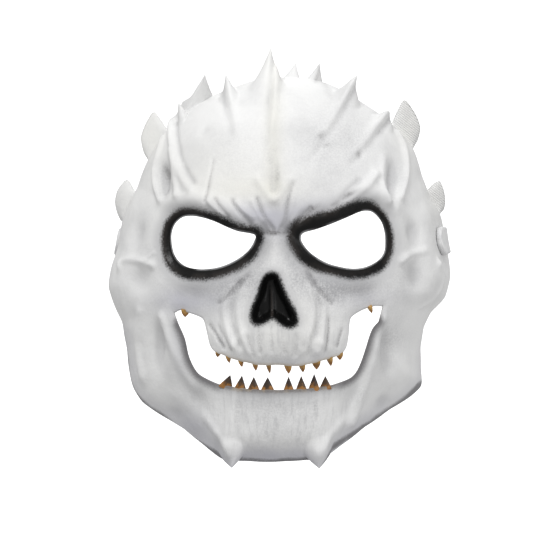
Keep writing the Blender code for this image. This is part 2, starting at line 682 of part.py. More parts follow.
def fin_reach(u, v):
    """Flat fins: the sheet is drawn out towards each crest."""
    reach = np.zeros(u.shape + (3,))
    angle = np.degrees(np.arctan2(v, u)) % 360.0
    turn = np.degrees(np.hypot(u, v) / SHEET_PER_RADIAN)
    for fin in FINS:
        share = (angle - fin.first) / (fin.last - fin.first)
        near = np.abs(turn - FIN_TURN) / FIN_HALF_TURN
        used = (share > 0.0) & (share < 1.0) & (near < 1.0)
        if not used.any():
            continue
        line = smooth_path(fin.crest, steps=5)
        along = np.concatenate([[0.0], np.cumsum(np.linalg.norm(np.diff(line, axis=0), axis=1))])
        at = share[used] * along[-1]
        foot = layout(angle[used], FIN_TURN)
        start = base_place(foot[:, 0], foot[:, 1])
        crest_x, crest_z = (np.interp(at, along, line[:, k]) for k in (0, 1))
        end = np.column_stack([crest_x, start[:, 1], crest_z])
        ends = smooth_step(0.0, FIN_END, share[used]) * smooth_step(0.0, FIN_END, 1.0 - share[used])
        weight = ends * (1.0 - near[used]) ** 0.75
        reach[used] += weight[:, None] * (end - start)
    return reach


def outer_place(u, v):
    height = deep_relief(u, v, 0.0) + surface_relief(u, v)
    return raised(u, v, height) + spike_reach(u, v) + fin_reach(u, v)


def inner_place(u, v):
    """The back of the wall: it follows the broad hollows, but not the spikes, fins and fine ridges."""
    height = deep_relief(u, v, 3.0) + dab_relief(u, v, [dab for dab in DABS if dab.height < -2.0]) - WALL
    for tab, distance in tab_distances(u, v):
        height += tab.dent * np.exp(-((distance / DENT_WIDTH) ** 4))
    return raised(u, v, height)


def honeycomb(step, reach):
    """Places on an even triangular grid."""
    row_step = step * math.sqrt(3.0) / 2.0
    rows = np.arange(-reach, reach, row_step)
    columns = np.arange(-reach, reach, step)
    u, v = np.meshgrid(columns, rows)
    u = u + (np.arange(len(rows)) % 2)[:, None] * step / 2.0
    return np.column_stack([u.ravel(), v.ravel()])


def thinned(points, taken, distance):
    """The points that keep their distance from the places already taken."""
    if not len(points) or not len(taken):
        return points
    keep = np.ones(len(points), bool)
    for block in range(0, len(taken), 200):
        gaps = np.linalg.norm(points[:, None] - taken[None, block : block + 200], axis=2)
        keep &= gaps.min(axis=1) > distance
    return points[keep]


def spike_rings():
    """A point on each tip, with rings round it down to the foot."""
    found = []
    for spike, foot in spike_feet():
        up, round_head = axes(foot)
        found.append(foot[None])
        for share, count in ((0.12, 6), (0.32, 8), (0.6, 10), (0.95, 14)):
            turned = np.arange(count) * 2.0 * math.pi / count
            across = share * spike.half_round * np.cos(turned)[:, None] * round_head
            found.append(foot + across + share * spike.half_up * np.sin(turned)[:, None] * up)
    return np.vstack(found)


def fin_rows():
    """Points along each crest and along the two sides of its foot."""
    found = []
    for fin in FINS:
        for turn, count in ((0.0, 11), (-0.5, 8), (0.5, 8), (-1.0, 7), (1.0, 7)):
            angles = np.linspace(fin.first, fin.last, count)
            found.append(layout(angles, FIN_TURN + turn * FIN_HALF_TURN))
    return np.vstack(found)


def stroke_points():
    """Points along each ridge or groove and on both of its sides."""
    found = []
    for stroke, path in zip(STROKES, STROKE_PATHS):
        if max(stroke.start, stroke.end) < CLEAR_HEIGHT:
            continue
        line = spaced(path, max(FINE_STEP, 1.2 * stroke.half_width))
        along = np.gradient(line, axis=0)
        along /= np.linalg.norm(along, axis=1, keepdims=True)
        aside = 1.25 * stroke.half_width * np.column_stack([-along[:, 1], along[:, 0]])
        found += [line, line + aside, line - aside]
    return np.vstack(found)


def nose_creases():
    """The edge of the nose hollow and the edge of its floor, as closed lines that the mesh follows."""
    edge = spaced(NOSE_LOOP, NOSE_STEP, closed=True)
    ahead = np.roll(edge, -1, 0) - np.roll(edge, 1, 0)
    inwards = np.column_stack([ahead[:, 1], -ahead[:, 0]])
    inwards /= np.linalg.norm(inwards, axis=1, keepdims=True)
    floor = edge + NOSE_SLOPE * inwards
    deep = loop_depth(floor[:, 0], floor[:, 1], NOSE_LOOP) > 0.93 * NOSE_SLOPE
    return [edge, floor[deep]]


def triangulated(loops, points, creases=()):
    """Triangles over the sheet, within the first loop and outside the others, along the creases."""
    rings = list(loops.values())
    holes = rings[1:]
    rings += list(creases)
    sizes = [len(loop) for loop in rings]
    starts = np.concatenate([[0], np.cumsum(sizes)])
    places = np.vstack(rings + [points])
    edges = []
    for start, size in zip(starts, sizes):
        edges += [(start + k, start + (k + 1) % size) for k in range(size)]
    flat, _, faces, sources, _, _ = delaunay_2d_cdt(places.tolist(), edges, [], 0, 1e-5)
    flat = np.array([tuple(place) for place in flat])
    faces = np.array([face for face in faces if len(face) == 3])
    middles = flat[faces].mean(axis=1)
    keep = inside(middles[:, 0], middles[:, 1], rings[0])
    for loop in holes:
        keep &= ~inside(middles[:, 0], middles[:, 1], loop)
    faces = faces[keep]
    a, b, c = (flat[faces[:, k]] for k in range(3))
    turned = (b[:, 0] - a[:, 0]) * (c[:, 1] - a[:, 1]) - (b[:, 1] - a[:, 1]) * (c[:, 0] - a[:, 0])
    faces[turned < 0] = faces[turned < 0][:, ::-1]
    placed = {source: index for index, found in enumerate(sources) for source in found}
    loop_indices = [[placed[start + k] for k in range(size)] for start, size in zip(starts, sizes)]
    return flat, faces, dict(zip(loops, loop_indices))


def shell_sheets():
    """The outer and inner faces of the wall as layout places and triangles."""
    loops = {"rim": rim_loop(RIM_STEP), **openings()}
    edge_points = np.vstack(list(loops.values()))
    creases = nose_creases()
    nose = np.vstack(creases)
    special = np.vstack([spike_rings(), fin_rows()])
    special = thinned(special, edge_points, 1.4)
    features = thinned(stroke_points(), np.vstack([edge_points, special, nose]), 2.4)
    features = one_each(features, 2.6)
    taken = np.vstack([edge_points, special, nose, features])
    fine = honeycomb(FINE_STEP, FACE_REACH)
    fine = fine[wants_detail(fine)]
    fine = thinned(fine, taken, 0.66 * FINE_STEP)
    taken = np.vstack([taken, fine])
    coarse = thinned(honeycomb(COARSE_STEP, SHEET_REACH), taken, 0.6 * COARSE_STEP)
    points = np.vstack([special, features, fine, coarse])
    outer = triangulated(loops, points[within_sheet(points, loops)], creases)
    back_of_nose = honeycomb(2.0 * NOSE_STEP, NOSE_REACH)
    depth = loop_depth(back_of_nose[:, 0], back_of_nose[:, 1], NOSE_LOOP)
    back_of_nose = back_of_nose[depth > -6.0]
    taken = np.vstack([edge_points, back_of_nose])
    coarse = thinned(honeycomb(INNER_STEP, SHEET_REACH), taken, 0.5 * INNER_STEP)
    points = np.vstack([back_of_nose, coarse])
    inner = triangulated(loops, points[within_sheet(points, loops)])
    return outer, inner


def one_each(points, distance):
    """Points left after near ones are dropped, the first of them kept."""
    kept = []
    for point in points:
        if all(abs(point[0] - k[0]) > distance or abs(point[1] - k[1]) > distance for k in kept):
            kept.append(point)
    return np.array(kept)


def within_sheet(points, loops):
    keep = inside(points[:, 0], points[:, 1], loops["rim"])
    for name, loop in loops.items():
        if name != "rim":
            keep &= ~inside(points[:, 0], points[:, 1], loop)
    return keep


def wants_detail(points):
    """Round the eyes, between the brows, round the tabs and over the maxilla the mesh is finer."""
    u, v = points[:, 0], points[:, 1]
    near = np.zeros(len(points), bool)
    for loop in EYE_LOOPS:
        near |= np.abs(loop_depth(u, v, loop)) < FINE_ROUND_EYE
    for _, distance in tab_distances(u, v):
        near |= distance < FINE_ROUND_TAB
    middle = sheet_place(*MAXILLA_MIDDLE)
    return near | (np.hypot((u - middle[0]) / MAXILLA_HALF[0], (v - middle[1]) / MAXILLA_HALF[1]) < 1.0)


def new_object(name, mesh, collection, colour_name):
    piece = bpy.data.objects.new(name, mesh)
    collection.objects.link(piece)
    colour, roughness = COLOURS[colour_name]
    material = bpy.data.materials.new(name)
    material.use_nodes = True
    shader = material.node_tree.nodes["Principled BSDF"]
    shader.inputs["Base Color"].default_value = (*colour, 1.0)
    shader.inputs["Roughness"].default_value = roughness
    mesh.materials.append(material)
    return piece


def make_shell(collection):
    outer, inner = shell_sheets()
    flat, faces, loops = outer
    inner_flat, inner_faces, inner_loops = inner
    outer_points = outer_place(flat[:, 0], flat[:, 1])
    inner_points = inner_place(inner_flat[:, 0], inner_flat[:, 1])
    offset = len(outer_points)
    walls = []
    for name in ("rim", "eye_left", "eye_right", "mouth"):
        front, back = loops[name], inner_loops[name]
        for k in range(len(front)):
            following = (k + 1) % len(front)
            walls.append((front[k], front[following], back[following] + offset, back[k] + offset))
    mesh = bpy.data.meshes.new("mask_shell")
    all_faces = faces.tolist() + (inner_faces[:, ::-1] + offset).tolist() + walls
    mesh.from_pydata((np.vstack([outer_points, inner_points]) * MM).tolist(), [], all_faces)
    editing = bmesh.new()
    editing.from_mesh(mesh)
    bmesh.ops.recalc_face_normals(editing, faces=editing.faces)
    bmesh.ops.triangulate(editing, faces=editing.faces)
    editing.to_mesh(mesh)
    editing.free()
    mesh.shade_smooth()
    return new_object("mask_shell", mesh, collection, "mask_shell")


def make_slab(name, collection, under, over, colour_name):
    """A closed solid between two equal grids of points, rows by columns."""
    rows, columns = under.shape[:2]
    points = np.vstack([under.reshape(-1, 3), over.reshape(-1, 3)])
    offset = rows * columns
    faces = []
    for row in range(rows - 1):
        for column in range(columns - 1):
            a = row * columns + column
            quad = (a, a + 1, a + columns + 1, a + columns)
            faces += [quad[::-1], tuple(corner + offset for corner in quad)]
    border = [(0, c) for c in range(columns)] + [(r, columns - 1) for r in range(1, rows)]
    border += [(rows - 1, c) for c in range(columns - 2, -1, -1)] + [(r, 0) for r in range(rows - 2, 0, -1)]
    indices = [r * columns + c for r, c in border]
    for a, b in zip(indices, indices[1:] + indices[:1]):
        faces.append((a, b, b + offset, a + offset))
    mesh = bpy.data.meshes.new(name)
    mesh.from_pydata((points * MM).tolist(), [], faces)
    editing = bmesh.new()
    editing.from_mesh(mesh)
    bmesh.ops.recalc_face_normals(editing, faces=editing.faces)
    bmesh.ops.triangulate(editing, faces=editing.faces)
    editing.to_mesh(mesh)
    editing.free()
    mesh.shade_smooth()
    mesh.set_sharp_from_angle(angle=math.radians(40))
    return new_object(name, mesh, collection, colour_name)


def on_shell(place, height):
    """A point that stands off the outer face of the shell."""
    u, v = place[..., 0], place[..., 1]
    return raised(u, v, deep_relief(u, v, 0.0) + surface_relief(u, v) + height)


def tab_places(tab):
    """A grid over a tab: a round end towards the face, a straight end towards the back."""
    middle = layout(tab.angle, tab.turn)
    back, sideways = axes(middle)
    half = TAB_WIDTH / 2
    along = np.array([0.35, 2.0, 4.5, 7.0, 9.0, 10.4, 11.4, 15.0, 19.0, TAB_LENGTH - 1.2, TAB_LENGTH])
    half_width = np.where(along < half, np.sqrt(np.maximum(half**2 - (half - along) ** 2, 0.0)), half)
    half_width[-1] -= 0.4
    covered = BAND_WIDTH / 2 + 0.45
    inner = np.minimum(covered, np.maximum(half_width * 0.82, half_width - 0.6))
    columns = np.stack([-half_width, -inner, -inner * 0.5, inner * 0, inner * 0.5, inner, half_width], axis=1)
    start = middle - back * TAB_LENGTH / 2
    places = start + along[:, None, None] * back + columns[..., None] * sideways
    over_band = (along[:, None] > TAB_LENGTH - BAND_UNDER_TAB - 0.8) & (np.abs(columns) <= covered + 0.01)
    edge = np.ones(over_band.shape, bool)
    edge[1:-1, 1:-1] = False
    return places, over_band, edge


def make_tab(collection, tab):
    places, over_band, edge = tab_places(tab)
    under = on_shell(places, np.where(over_band, BAND_ROOM, GAP))
    over = on_shell(places, np.where(edge, TAB_EDGE_HEIGHT, TAB_HEIGHT))
    return make_slab(f"strap_tab_{tab.name}", collection, under, over, "strap_tab")


def band_lines():
    """Lines along the band's inner face, side by side, from under the right tab to under the left one."""
    lines = []
    for side in np.linspace(-0.5, 0.5, BAND_LINES) * BAND_WIDTH:
        glued = []
        for tab in TABS:
            middle = layout(tab.angle, tab.turn)
            back, sideways = axes(middle)
            rim = np.radians(ring("lean", tab.angle) + ring("skirt", tab.angle)) * SHEET_PER_RADIAN
            beyond = (rim - np.linalg.norm(middle)) / np.linalg.norm(back) + 3.0
            reach = np.arange(TAB_LENGTH / 2 - BAND_UNDER_TAB, beyond, 3.5)
            around = side * sideways * (1.0 if tab.angle < 90 else -1.0)
            glued.append(on_shell(middle + reach[:, None] * back + around, GAP))
        route = np.array(BAND_ROUTE) + np.array([0.0, 0.0, side])
        free = smooth_path(np.vstack([glued[0][-2:], route, glued[1][:-3:-1]]), steps=8)[8:-8]
        lines.append(np.vstack([glued[0][:-2], resampled(free, BAND_STEPS), glued[1][:-2][::-1]]))
    return lines


def make_band(collection):
    under = np.stack(band_lines(), axis=1)
    along = np.gradient(under, axis=0)
    across = np.gradient(under, axis=1)
    outwards = np.cross(along, across)
    outwards /= np.linalg.norm(outwards, axis=2, keepdims=True)
    return make_slab("strap_band", collection, under, under + BAND_THICKNESS * outwards, "strap_band")


def clear_scene():
    for piece in list(bpy.data.objects):
        bpy.data.objects.remove(piece, do_unlink=True)


def main():
    clear_scene()
    collection = bpy.data.collections.new("skull_mask")
    bpy.context.scene.collection.children.link(collection)
    make_shell(collection)
    make_band(collection)
    for tab in TABS:
        make_tab(collection, tab)


main()
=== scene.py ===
"""Looks of a full-face skull mask: moulded foam latex with an airbrushed finish, on a white elastic strap.

The shell is one sheet, laid out flat round the middle of the face. A place on that layout is (u, v) in
millimetres: its direction from the middle is the direction in the front view, and its distance says how
far the sheet has turned round the head. Places (x, z) in the tables are places in the front view, in
millimetres. Meshes are made in millimetres and turned to metres when an object is made.
"""

import math
from collections import namedtuple

import bmesh
import bpy
import numpy as np
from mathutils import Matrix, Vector
from mathutils.geometry import delaunay_2d_cdt
from mathutils.kdtree import KDTree


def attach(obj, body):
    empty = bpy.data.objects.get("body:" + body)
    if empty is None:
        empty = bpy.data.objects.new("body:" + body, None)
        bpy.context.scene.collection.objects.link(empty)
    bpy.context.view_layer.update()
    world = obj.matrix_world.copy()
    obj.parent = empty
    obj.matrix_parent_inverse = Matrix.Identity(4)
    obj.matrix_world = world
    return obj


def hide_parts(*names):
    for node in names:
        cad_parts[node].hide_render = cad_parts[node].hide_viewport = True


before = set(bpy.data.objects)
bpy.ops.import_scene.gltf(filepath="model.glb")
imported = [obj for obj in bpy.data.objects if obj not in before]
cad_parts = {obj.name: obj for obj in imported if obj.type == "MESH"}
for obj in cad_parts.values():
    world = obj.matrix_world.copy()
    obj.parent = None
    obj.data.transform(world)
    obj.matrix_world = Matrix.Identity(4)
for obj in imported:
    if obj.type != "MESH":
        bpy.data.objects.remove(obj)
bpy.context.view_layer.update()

MM = 0.001
RANDOM_SEED = 7

# How fine the meshes are, in millimetres on the layout
FACE_STEP = 1.15
SIDE_STEP = 1.75
BACK_STEP = 3.2
EDGE_STEP = 1.1
GUM_STEP = 2.0
RIM_STEP = 1.8
FIN_STEP = 0.6
FACE_HALF_ACROSS = 96.0
FACE_HALF_UP = 100.0
EDGE_RINGS = (0.3, 0.75, 1.35, 2.1)
OUTER_EDGE_ROUND = 1.2
INNER_EDGE_ROUND = 0.8

# How far mesh points keep from those placed before them: in millimetres for the rings
# along the edges and for the spikes and fins, and as a share of its step for a grid
RING_APART = 0.25
SPIKE_APART = 0.5
GRID_APART = 0.6
BACK_APART = 0.5

# The grid of the sides starts this far beyond the grid of the face, and the grids reach this far
GRIDS_GAP = 1.0
SHEET_REACH = 222.0

# A point of a ring is dropped where it lies nearer to the edge than this share of its distance
RING_KEPT = 0.85

# Sizes that drive the shell
FACE_MIDDLE_Z = -15.0
SHEET_PER_RADIAN = 110.0
WALL = 3.0
SOCKET_DEPTH = 4.5
SOCKET_WIDTH = 8.0
LIP_DEPTH = 1.2
LIP_WIDTH = 4.0
NOSE_DEPTH = 8.0
NOSE_SLOPE = 3.5
DEEPEST_GROOVE = 1.5
AHEAD_WIDTH = 9.0
LEAST_AHEAD = 0.45
FIN_TURN = 97.0
FIN_HALF_TURN = 3.2
FIN_END = 0.14
FIN_SHARPNESS = 0.75
RELIEF_REACH = 40.0

# A ridge or groove is worked out as far as this many of its half widths
STROKE_REACH = 4.0

# What the inner face of the wall follows: the nose hollow, wider there, and the broad hollows
NOSE_WIDER = 3.0
NOSE_STEEPER = 0.6
BROAD_HOLLOW = -2.0

# How the base form is smoothed: in degrees round the outline, and in millimetres down the front
RADIUS_BLUR = 1
COLUMN_BLUR = 4
BAY_BLUR = 20
FRONT_BLUR = 12.0

# From this share of the radius on, the sheet takes the bays of its outline
BAYS_FROM = 0.55

# Rounds that find a place on the layout from its place in the front view
SOLVE_ROUNDS = 12

# Sizes of the strap
BAND_WIDTH = 15.0
BAND_THICKNESS = 1.0
TAB_LENGTH = 23.0
TAB_WIDTH = 18.0
TAB_HEIGHT = 3.8
BAND_UNDER_TAB = 12.0
DENT_WIDTH = 25.0
PLAIN_WIDTH = 21.0
GAP = 0.42

# The band lies on the shell in steps of this length, until it is this far past the rim
GLUED_STEP = 3.5
PAST_RIM = 3.0

# The finer make of the strap
RIB_COUNT = 11
RIB_POINTS = 4
RIB_HEIGHT = 0.22
BAND_FINER = 4
TAB_ROWS = 12
TAB_LINES = 27
TAB_CORNER = 1.6
TAB_ROUND = 1.5
TAB_LOW = 2.4
RIB_ROUNDNESS = 0.6

# So that no row of a patch shrinks to a point: where its round end starts, in radians,
# and the share of its corners' rounding that is kept
TAB_FIRST_BEND = 0.17
TAB_CORNER_CUT = 0.98

# Where the underside of a patch rises over the band, in millimetres from the band's end and,
# with room beside it, from its sides
RISE_AT_END = (-0.8, 0.6)
RISE_AT_SIDES = (-0.6, 0.4)
BAND_SIDE_ROOM = 0.6

# Camera, floor and light, in metres
CAMERA_DISTANCE = 3.0
FRAME_WIDTH = 0.3543
FRAME_MIDDLE_X = -0.00193
FRAME_MIDDLE_Z = -0.0215
SENSOR = 36.0
NEAREST_SHOWN = 0.1
FARTHEST_SHOWN = 50.0
FLOOR_Z = -0.26
BACKDROP_FLAT = 4.0
BACKDROP_CURVE = 1.5
BACKDROP_HEIGHT = 5.0
BACKDROP_GLOW = 0.9
BACKDROP_BENDS = 12
BACKDROP_SIDES = 96
WORLD_LIGHT = 0.57
LAMP_AIM = (0.0, -0.05, -0.02)

# Lamps, as (name, place, width in metres, power in watts)
LAMPS = (
    ("key", (-0.45, -1.5, 1.9), 0.9, 31.0),
    ("fill", (1.5, -1.9, 0.3), 1.4, 11.0),
    ("back", (0.2, 1.8, 1.4), 1.2, 10.0),
)

# The finer sculpt that the moulded teeth, spikes and gums show
SPIKE_RINGS = 15
SPIKE_CROWDING = 1.3
SPIKE_AROUND = 2.75
SPIKE_LEAST_AROUND = 8
FIN_ROWS = 9
UPPER_GUM_SAG = -0.2
LOWER_GUM_SAG = 0.5
GUM_DIP_SHARE = 0.42
TOOTH_RINGS = 12
TOOTH_SIDES = 16
TOOTH_SPREAD = 1.32

# A tooth's radius at the root as a share of its size: what is past 1 is left at the tip
TOOTH_ROOT_SHARE = 1.01

# How a row of teeth is made: depth of the roots in the gum, thickness, and how full the sides are
ToothMake = namedtuple("ToothMake", "root_depth thickness fullness")
UPPER_MAKE = ToothMake(1.5, 3.1, 2.4)
LOWER_MAKE = ToothMake(1.6, 3.3, 1.15)

# Lines embossed on the fins: the reach in millimetres at which they are full, their slant,
# and the radians of their wave in a metre
FIN_LINES_FULL = 3.0
FIN_LINES_SLANT = 0.75
FIN_LINES_WAVE = 3900.0

# The strength of each paint, painted shade and painted highlight where it is fullest, 0 to 1
HOLLOW_SHADE = 0.36
CREASE_SHADE = 0.42
BROAD_CREASE_SHARE = 0.35
BLOTCH_SHADE = 0.26
FIN_LINES_SHADE = 0.3
FIBRE_SHADE = 0.42
NOSE_FADE_SHADE = 0.4
HALO_SHADE = 0.66
CUT_EDGE_HIGHLIGHT = 0.7
JAW_SHADE = 0.4
JAW_LINE_SHADE = 0.8
GUM_STAIN = 0.92
GUM_SHADE = 0.5
GUM_EDGE_SHADE = 0.5
LIMB_STRIP_SHADE = 0.85
UPPER_GUM_TOUCH = 0.3
OVERSPRAY_SHADE = 0.85

# How far paint and painted shade spread from an edge, in millimetres
HALO_REACH = 11.0
NOSE_FADE_REACH = 6.0
JAW_SHADE_REACH = 12.0
GUM_SHADE_REACH = 13.0
GUM_EDGE_REACH = 6.5
LIMB_STRIP_REACH = 7.5

# Rounds of averaging, few and many: a place lies in a hollow where many leave it higher than few do
PLACE_ROUNDS = 2
HOLLOW_ROUNDS = 60

# The depth in the nose hollow that is stored on the back of the wall: outside it, so without its paint
OUTSIDE_NOSE = -20.0

# Half width of the front of the grin, in metres: where it begins to end, and where it has ended
FRONT_OF_GRIN = (0.033, 0.042)

# How rough each finish is, how much light the paint mirrors, and the elastic's fuzz
PAINT_ROUGHNESS = 0.55
BLACK_ROUGHNESS = 0.3
RAW_ROUGHNESS = 0.7
TOOTH_ROUGHNESS = 0.42
ELASTIC_ROUGHNESS = 0.85
PATCH_ROUGHNESS = 0.6
PAINT_SPECULAR = 0.18
ELASTIC_SHEEN = 0.15

# Width in millimetres of the black band round each eye, as (direction from the eye's middle, width)
BAND_LEFT = (
    (-170, 11.0),
    (-120, 8.0),
    (-80, 7.4),
    (-40, 7.6),
    (-10, 6.0),
    (10, 5.0),
    (40, 4.6),
    (90, 4.8),
    (120, 6.4),
    (160, 10.5),
)
BAND_RIGHT = (
    (-170, 8.6),
    (-150, 8.4),
    (-120, 7.2),
    (-80, 7.0),
    (-40, 7.2),
    (0, 8.2),
    (45, 7.4),
    (75, 6.8),
    (110, 8.0),
    (140, 9.4),
    (165, 9.6),
)

# Soft patches of paint and of painted shade in the front view: middle, half sizes across and up, tilt and
# strength
Cloud = namedtuple("Cloud", "x z half_x half_z tilt strength")
# Grey patches: partly the mask's own airbrushed paint, partly painted shade
AIRBRUSH_AND_SHADE = [Cloud(*row) for row in (
    (-42, 0, 42, 30, 0, 0.30),
    (42, 2, 42, 30, 0, 0.36),
    (36, 62, 26, 26, 0, 0.42),
    (-26, 56, 24, 20, 0, 0.2),
    (-34, -24, 24, 9, 0, 0.38),
    (36, -24, 24, 9, 0, 0.36),
    (0, 16, 30, 9, 0, 0.22),
    (-11, -5, 5, 13, -14, 0.42),
    (8, -7, 5, 13, 14, 0.42),
    (0, 0, 12, 5, 0, 0.2),
    (-17, -26, 6, 12, 14, 0.26),
    (12, -26, 6, 12, -14, 0.26),
    (-24, -78, 14, 5, 0, 0.2),
    (105, 32, 3, 12, 0, 0.3),
    (87, 76, 3, 14, -10, 0.3),
    (-50, -36, 28, 13, 0, 0.34),
    (46, -32, 30, 15, 0, 0.44),
    (0, -46, 30, 34, 0, 0.20),
    (0, -100, 24, 24, 0, 0.48),
    (0, -134, 60, 7, 0, 0.06),
    (-90, -19, 9, 12, 0, 0.08),
    (88, -17, 9, 12, 0, 0.10),
    (-72, -66, 7, 24, 10, 0.10),
    (70, -66, 7, 24, -8, 0.26),
    (-60, -70, 4, 22, 10, 0.16),
    (58, -70, 5, 22, -10, 0.25),
    (-50, -97, 7, 10, 40, 0.20),
    (50, -97, 7, 10, -40, 0.20),
    (-72, 40, 4, 11, 8, 0.40),
    (74, 40, 5, 12, -8, 0.26),
    (-44, -12, 26, 10, 0, 0.22),
    (52, -12, 26, 10, 0, 0.22),
    (74, -60, 12, 9, 0, 0.2),
)]
# Bluish grey patches: partly airbrushed paint, partly painted shade in the fold between the brows and under
# the cheekbones, the jaw and the chin
LAVENDER_AND_SHADE = [Cloud(*row) for row in (
    (-10, 14, 20, 8, -14, 0.95),
    (14, 14, 18, 9, 16, 0.85),
    (-58, -37, 22, 8, 0, 0.75),
    (56, -36, 18, 8, 0, 0.35),
    (-52, -118, 20, 10, -35, 0.6),
    (52, -120, 20, 9, 35, 0.5),
    (0, -136, 50, 9, 0, 0.75),
    (-60, -60, 8, 22, 0, 0.35),
    (8, -76, 9, 4, 0, 0.4),
    (25, -73, 6, 5, 0, 0.4),
)]
IVORY = [Cloud(*row) for row in (
    (-3, 62, 6, 44, 0, 0.75),
    (-40, 42, 40, 24, 0, 0.3),
    (-14, 32, 30, 9, 0, 0.5),
    (2, -52, 26, 18, 0, 0.35),
    (0, -130, 26, 10, 0, 0.2),
    (-81, 70, 8, 16, 8, 0.4),
    (-101, 30, 6, 12, 4, 0.4),
    (82, 72, 8, 16, -8, 0.4),
    (101, 30, 6, 12, -4, 0.4),
)]

# Dark spots and strokes laid over the rest: painted shadow in the deepest hollows and creases
SHADOW_TOUCHES = [Cloud(*row) for row in (
    (-0.6, 40, 1.6, 7, 0, 0.22),
    (26, 66, 2.2, 1.8, 30, 0.26),
    (30.5, 60.5, 2.0, 1.6, 30, 0.2),
    (50.5, 54.5, 1.6, 2.2, 0, 0.35),
    (-51, 98.5, 2.0, 1.8, 0, 0.2),
    (-50, 96.0, 1.2, 1.2, 0, 0.35),
    (24, 104, 1.6, 2.4, 0, 0.45),
    (20.5, 19, 4.6, 1.7, 36, 0.85),
    (43, 28.5, 4.4, 1.3, 30, 0.7),
    (35, 23, 3.2, 1.2, 30, 0.7),
    (-2, 5.0, 9.5, 1.4, 0, 0.8),
    (5, 9.5, 1.3, 5.5, -20, 0.5),
    (-7, 8.5, 1.2, 4.5, 30, 0.45),
    (28, 103, 2.4, 10, 24, 0.2),
    (75, 96, 2.4, 10, 14, 0.25),
    (-72.5, 44, 1.6, 5.5, 6, 0.5),
    (-47, -142, 1.8, 3.0, 0, 0.4),
    (27, -142, 1.8, 3.0, 0, 0.4),
)]

# Where the finish is drawn out in fine upright fibres
FIBRES = [Cloud(*row) for row in (
    (0, -60, 32, 16, 0, 0.8),
    (0, -108, 44, 24, 0, 1.0),
    (-34, -58, 12, 14, 0, 0.5),
    (32, -56, 12, 14, 0, 0.5),
    (0, 60, 60, 40, 0, 0.15),
)]

# The lower edge of the jaw in the front view, where painted shade lies in a dark line
JAW_LINE = (
    (-100.4, -60), (-97.8, -73), (-95.2, -88), (-92.4, -96.5), (-81.8, -106.8), (-62.7, -119.2),
    (-47, -129.4), (-34.2, -135.6), (-21.5, -136.6), (-2.3, -137.6), (17, -136.6), (28, -132.4),
    (46, -122), (64.6, -110.4), (78.6, -101.4), (88.8, -92.6), (94.2, -88), (96.4, -76), (101, -60),
)

# Colours as red, green and blue on a scale where light adds up
WHITE = (0.83, 0.83, 0.825)
IVORY_WHITE = (0.80, 0.79, 0.73)
GREY = (0.40, 0.40, 0.41)
LAVENDER_GREY = (0.47, 0.47, 0.51)
BLACK = (0.004, 0.004, 0.004)
BROWN_BLACK = (0.022, 0.016, 0.014)
# A lighter, brownish black: painted highlight on the ridges in the nose hollow, and brown patches in the eye
# bands
BROWN_AND_HIGHLIGHT_BLACK = (0.028, 0.024, 0.022)
STAIN_BROWN = (0.10, 0.055, 0.02)
STAIN_OCHRE = (0.42, 0.27, 0.07)
CREASE_GREY = (0.13, 0.125, 0.13)
TOOTH_GOLD = (0.50, 0.29, 0.08)
TOOTH_AMBER = (0.34, 0.145, 0.025)
TOOTH_DARK = (0.022, 0.012, 0.009)
RAW_LATEX = (0.74, 0.72, 0.66)
ELASTIC_WHITE = (0.80, 0.80, 0.79)
ELASTIC_SHADE = (0.62, 0.62, 0.61)
BACKDROP_GREY = (0.9, 0.9, 0.9)

# The outline in the front view: distance from the middle of the face, how far back
# the sheet is there, how far it has turned, and how much further it turns to its rim
OUTLINE_COLUMNS = ("angle", "radius", "edge_y", "lean", "skirt")
OUTLINE = (
    (-166, 108.4, -6, 90, 13),
    (-160, 106.4, -11, 87, 12),
    (-151, 110.3, -17, 84, 9),
    (-145, 115.5, -21, 80, 5),
    (-140, 120.5, -25, 77, 2),
    (-135, 122.9, -30, 74, 0),
    (-127, 121.0, -42, 69, 0),
    (-120, 119.8, -51, 66, 0),
    (-113, 122.8, -61, 64, 0),
    (-106, 127.6, -71, 62, 0),
    (-99, 124.6, -76, 61, 0),
    (-88, 123.2, -78, 61, 0),
    (-76, 124.2, -73, 62, 0),
    (-71, 120.4, -67, 63, 0),
    (-62, 116.0, -54, 66, 0),
    (-52, 116.0, -40, 71, 0),
    (-45, 118.4, -30, 75, 0),
    (-40, 119.0, -24, 78, 2),
    (-36, 111.5, -20, 80, 5),
    (-30, 104.5, -15, 84, 9),
    (-23, 101.0, -11, 87, 12),
    (-17, 102.2, -8, 90, 13),
    (-11, 109.0, -4, 90, 14),
    (-4, 110.7, -1, 90, 15),
    (8, 109.1, -1, 90, 15),
    (17, 109.2, -4, 90, 14),
    (24, 106.4, -6, 90, 14),
    (32, 108.4, -8, 90, 15),
    (41, 114.4, -11, 90, 16),
    (52, 115.9, -15, 90, 18),
    (63, 117.0, -19, 90, 20),
    (75, 120.4, -21, 90, 22),
    (93, 120.4, -22, 90, 22),
    (105, 117.0, -20, 90, 21),
    (118, 115.8, -17, 90, 19),
    (129, 112.0, -13, 90, 17),
    (141, 107.6, -10, 90, 16),
    (151, 103.4, -6, 90, 16),
    (163, 104.6, -3, 90, 16),
    (174, 104.8, -1, 90, 16),
    (187, 110.2, -2, 90, 15),
)

# How far the middle line of the face stands in front of the origin, as (z, depth)
FRONT = (
    (-140, 102),
    (-110, 104),
    (-80, 104),
    (-45, 105),
    (-10, 101),
    (15, 101),
    (60, 104),
    (110, 104),
)

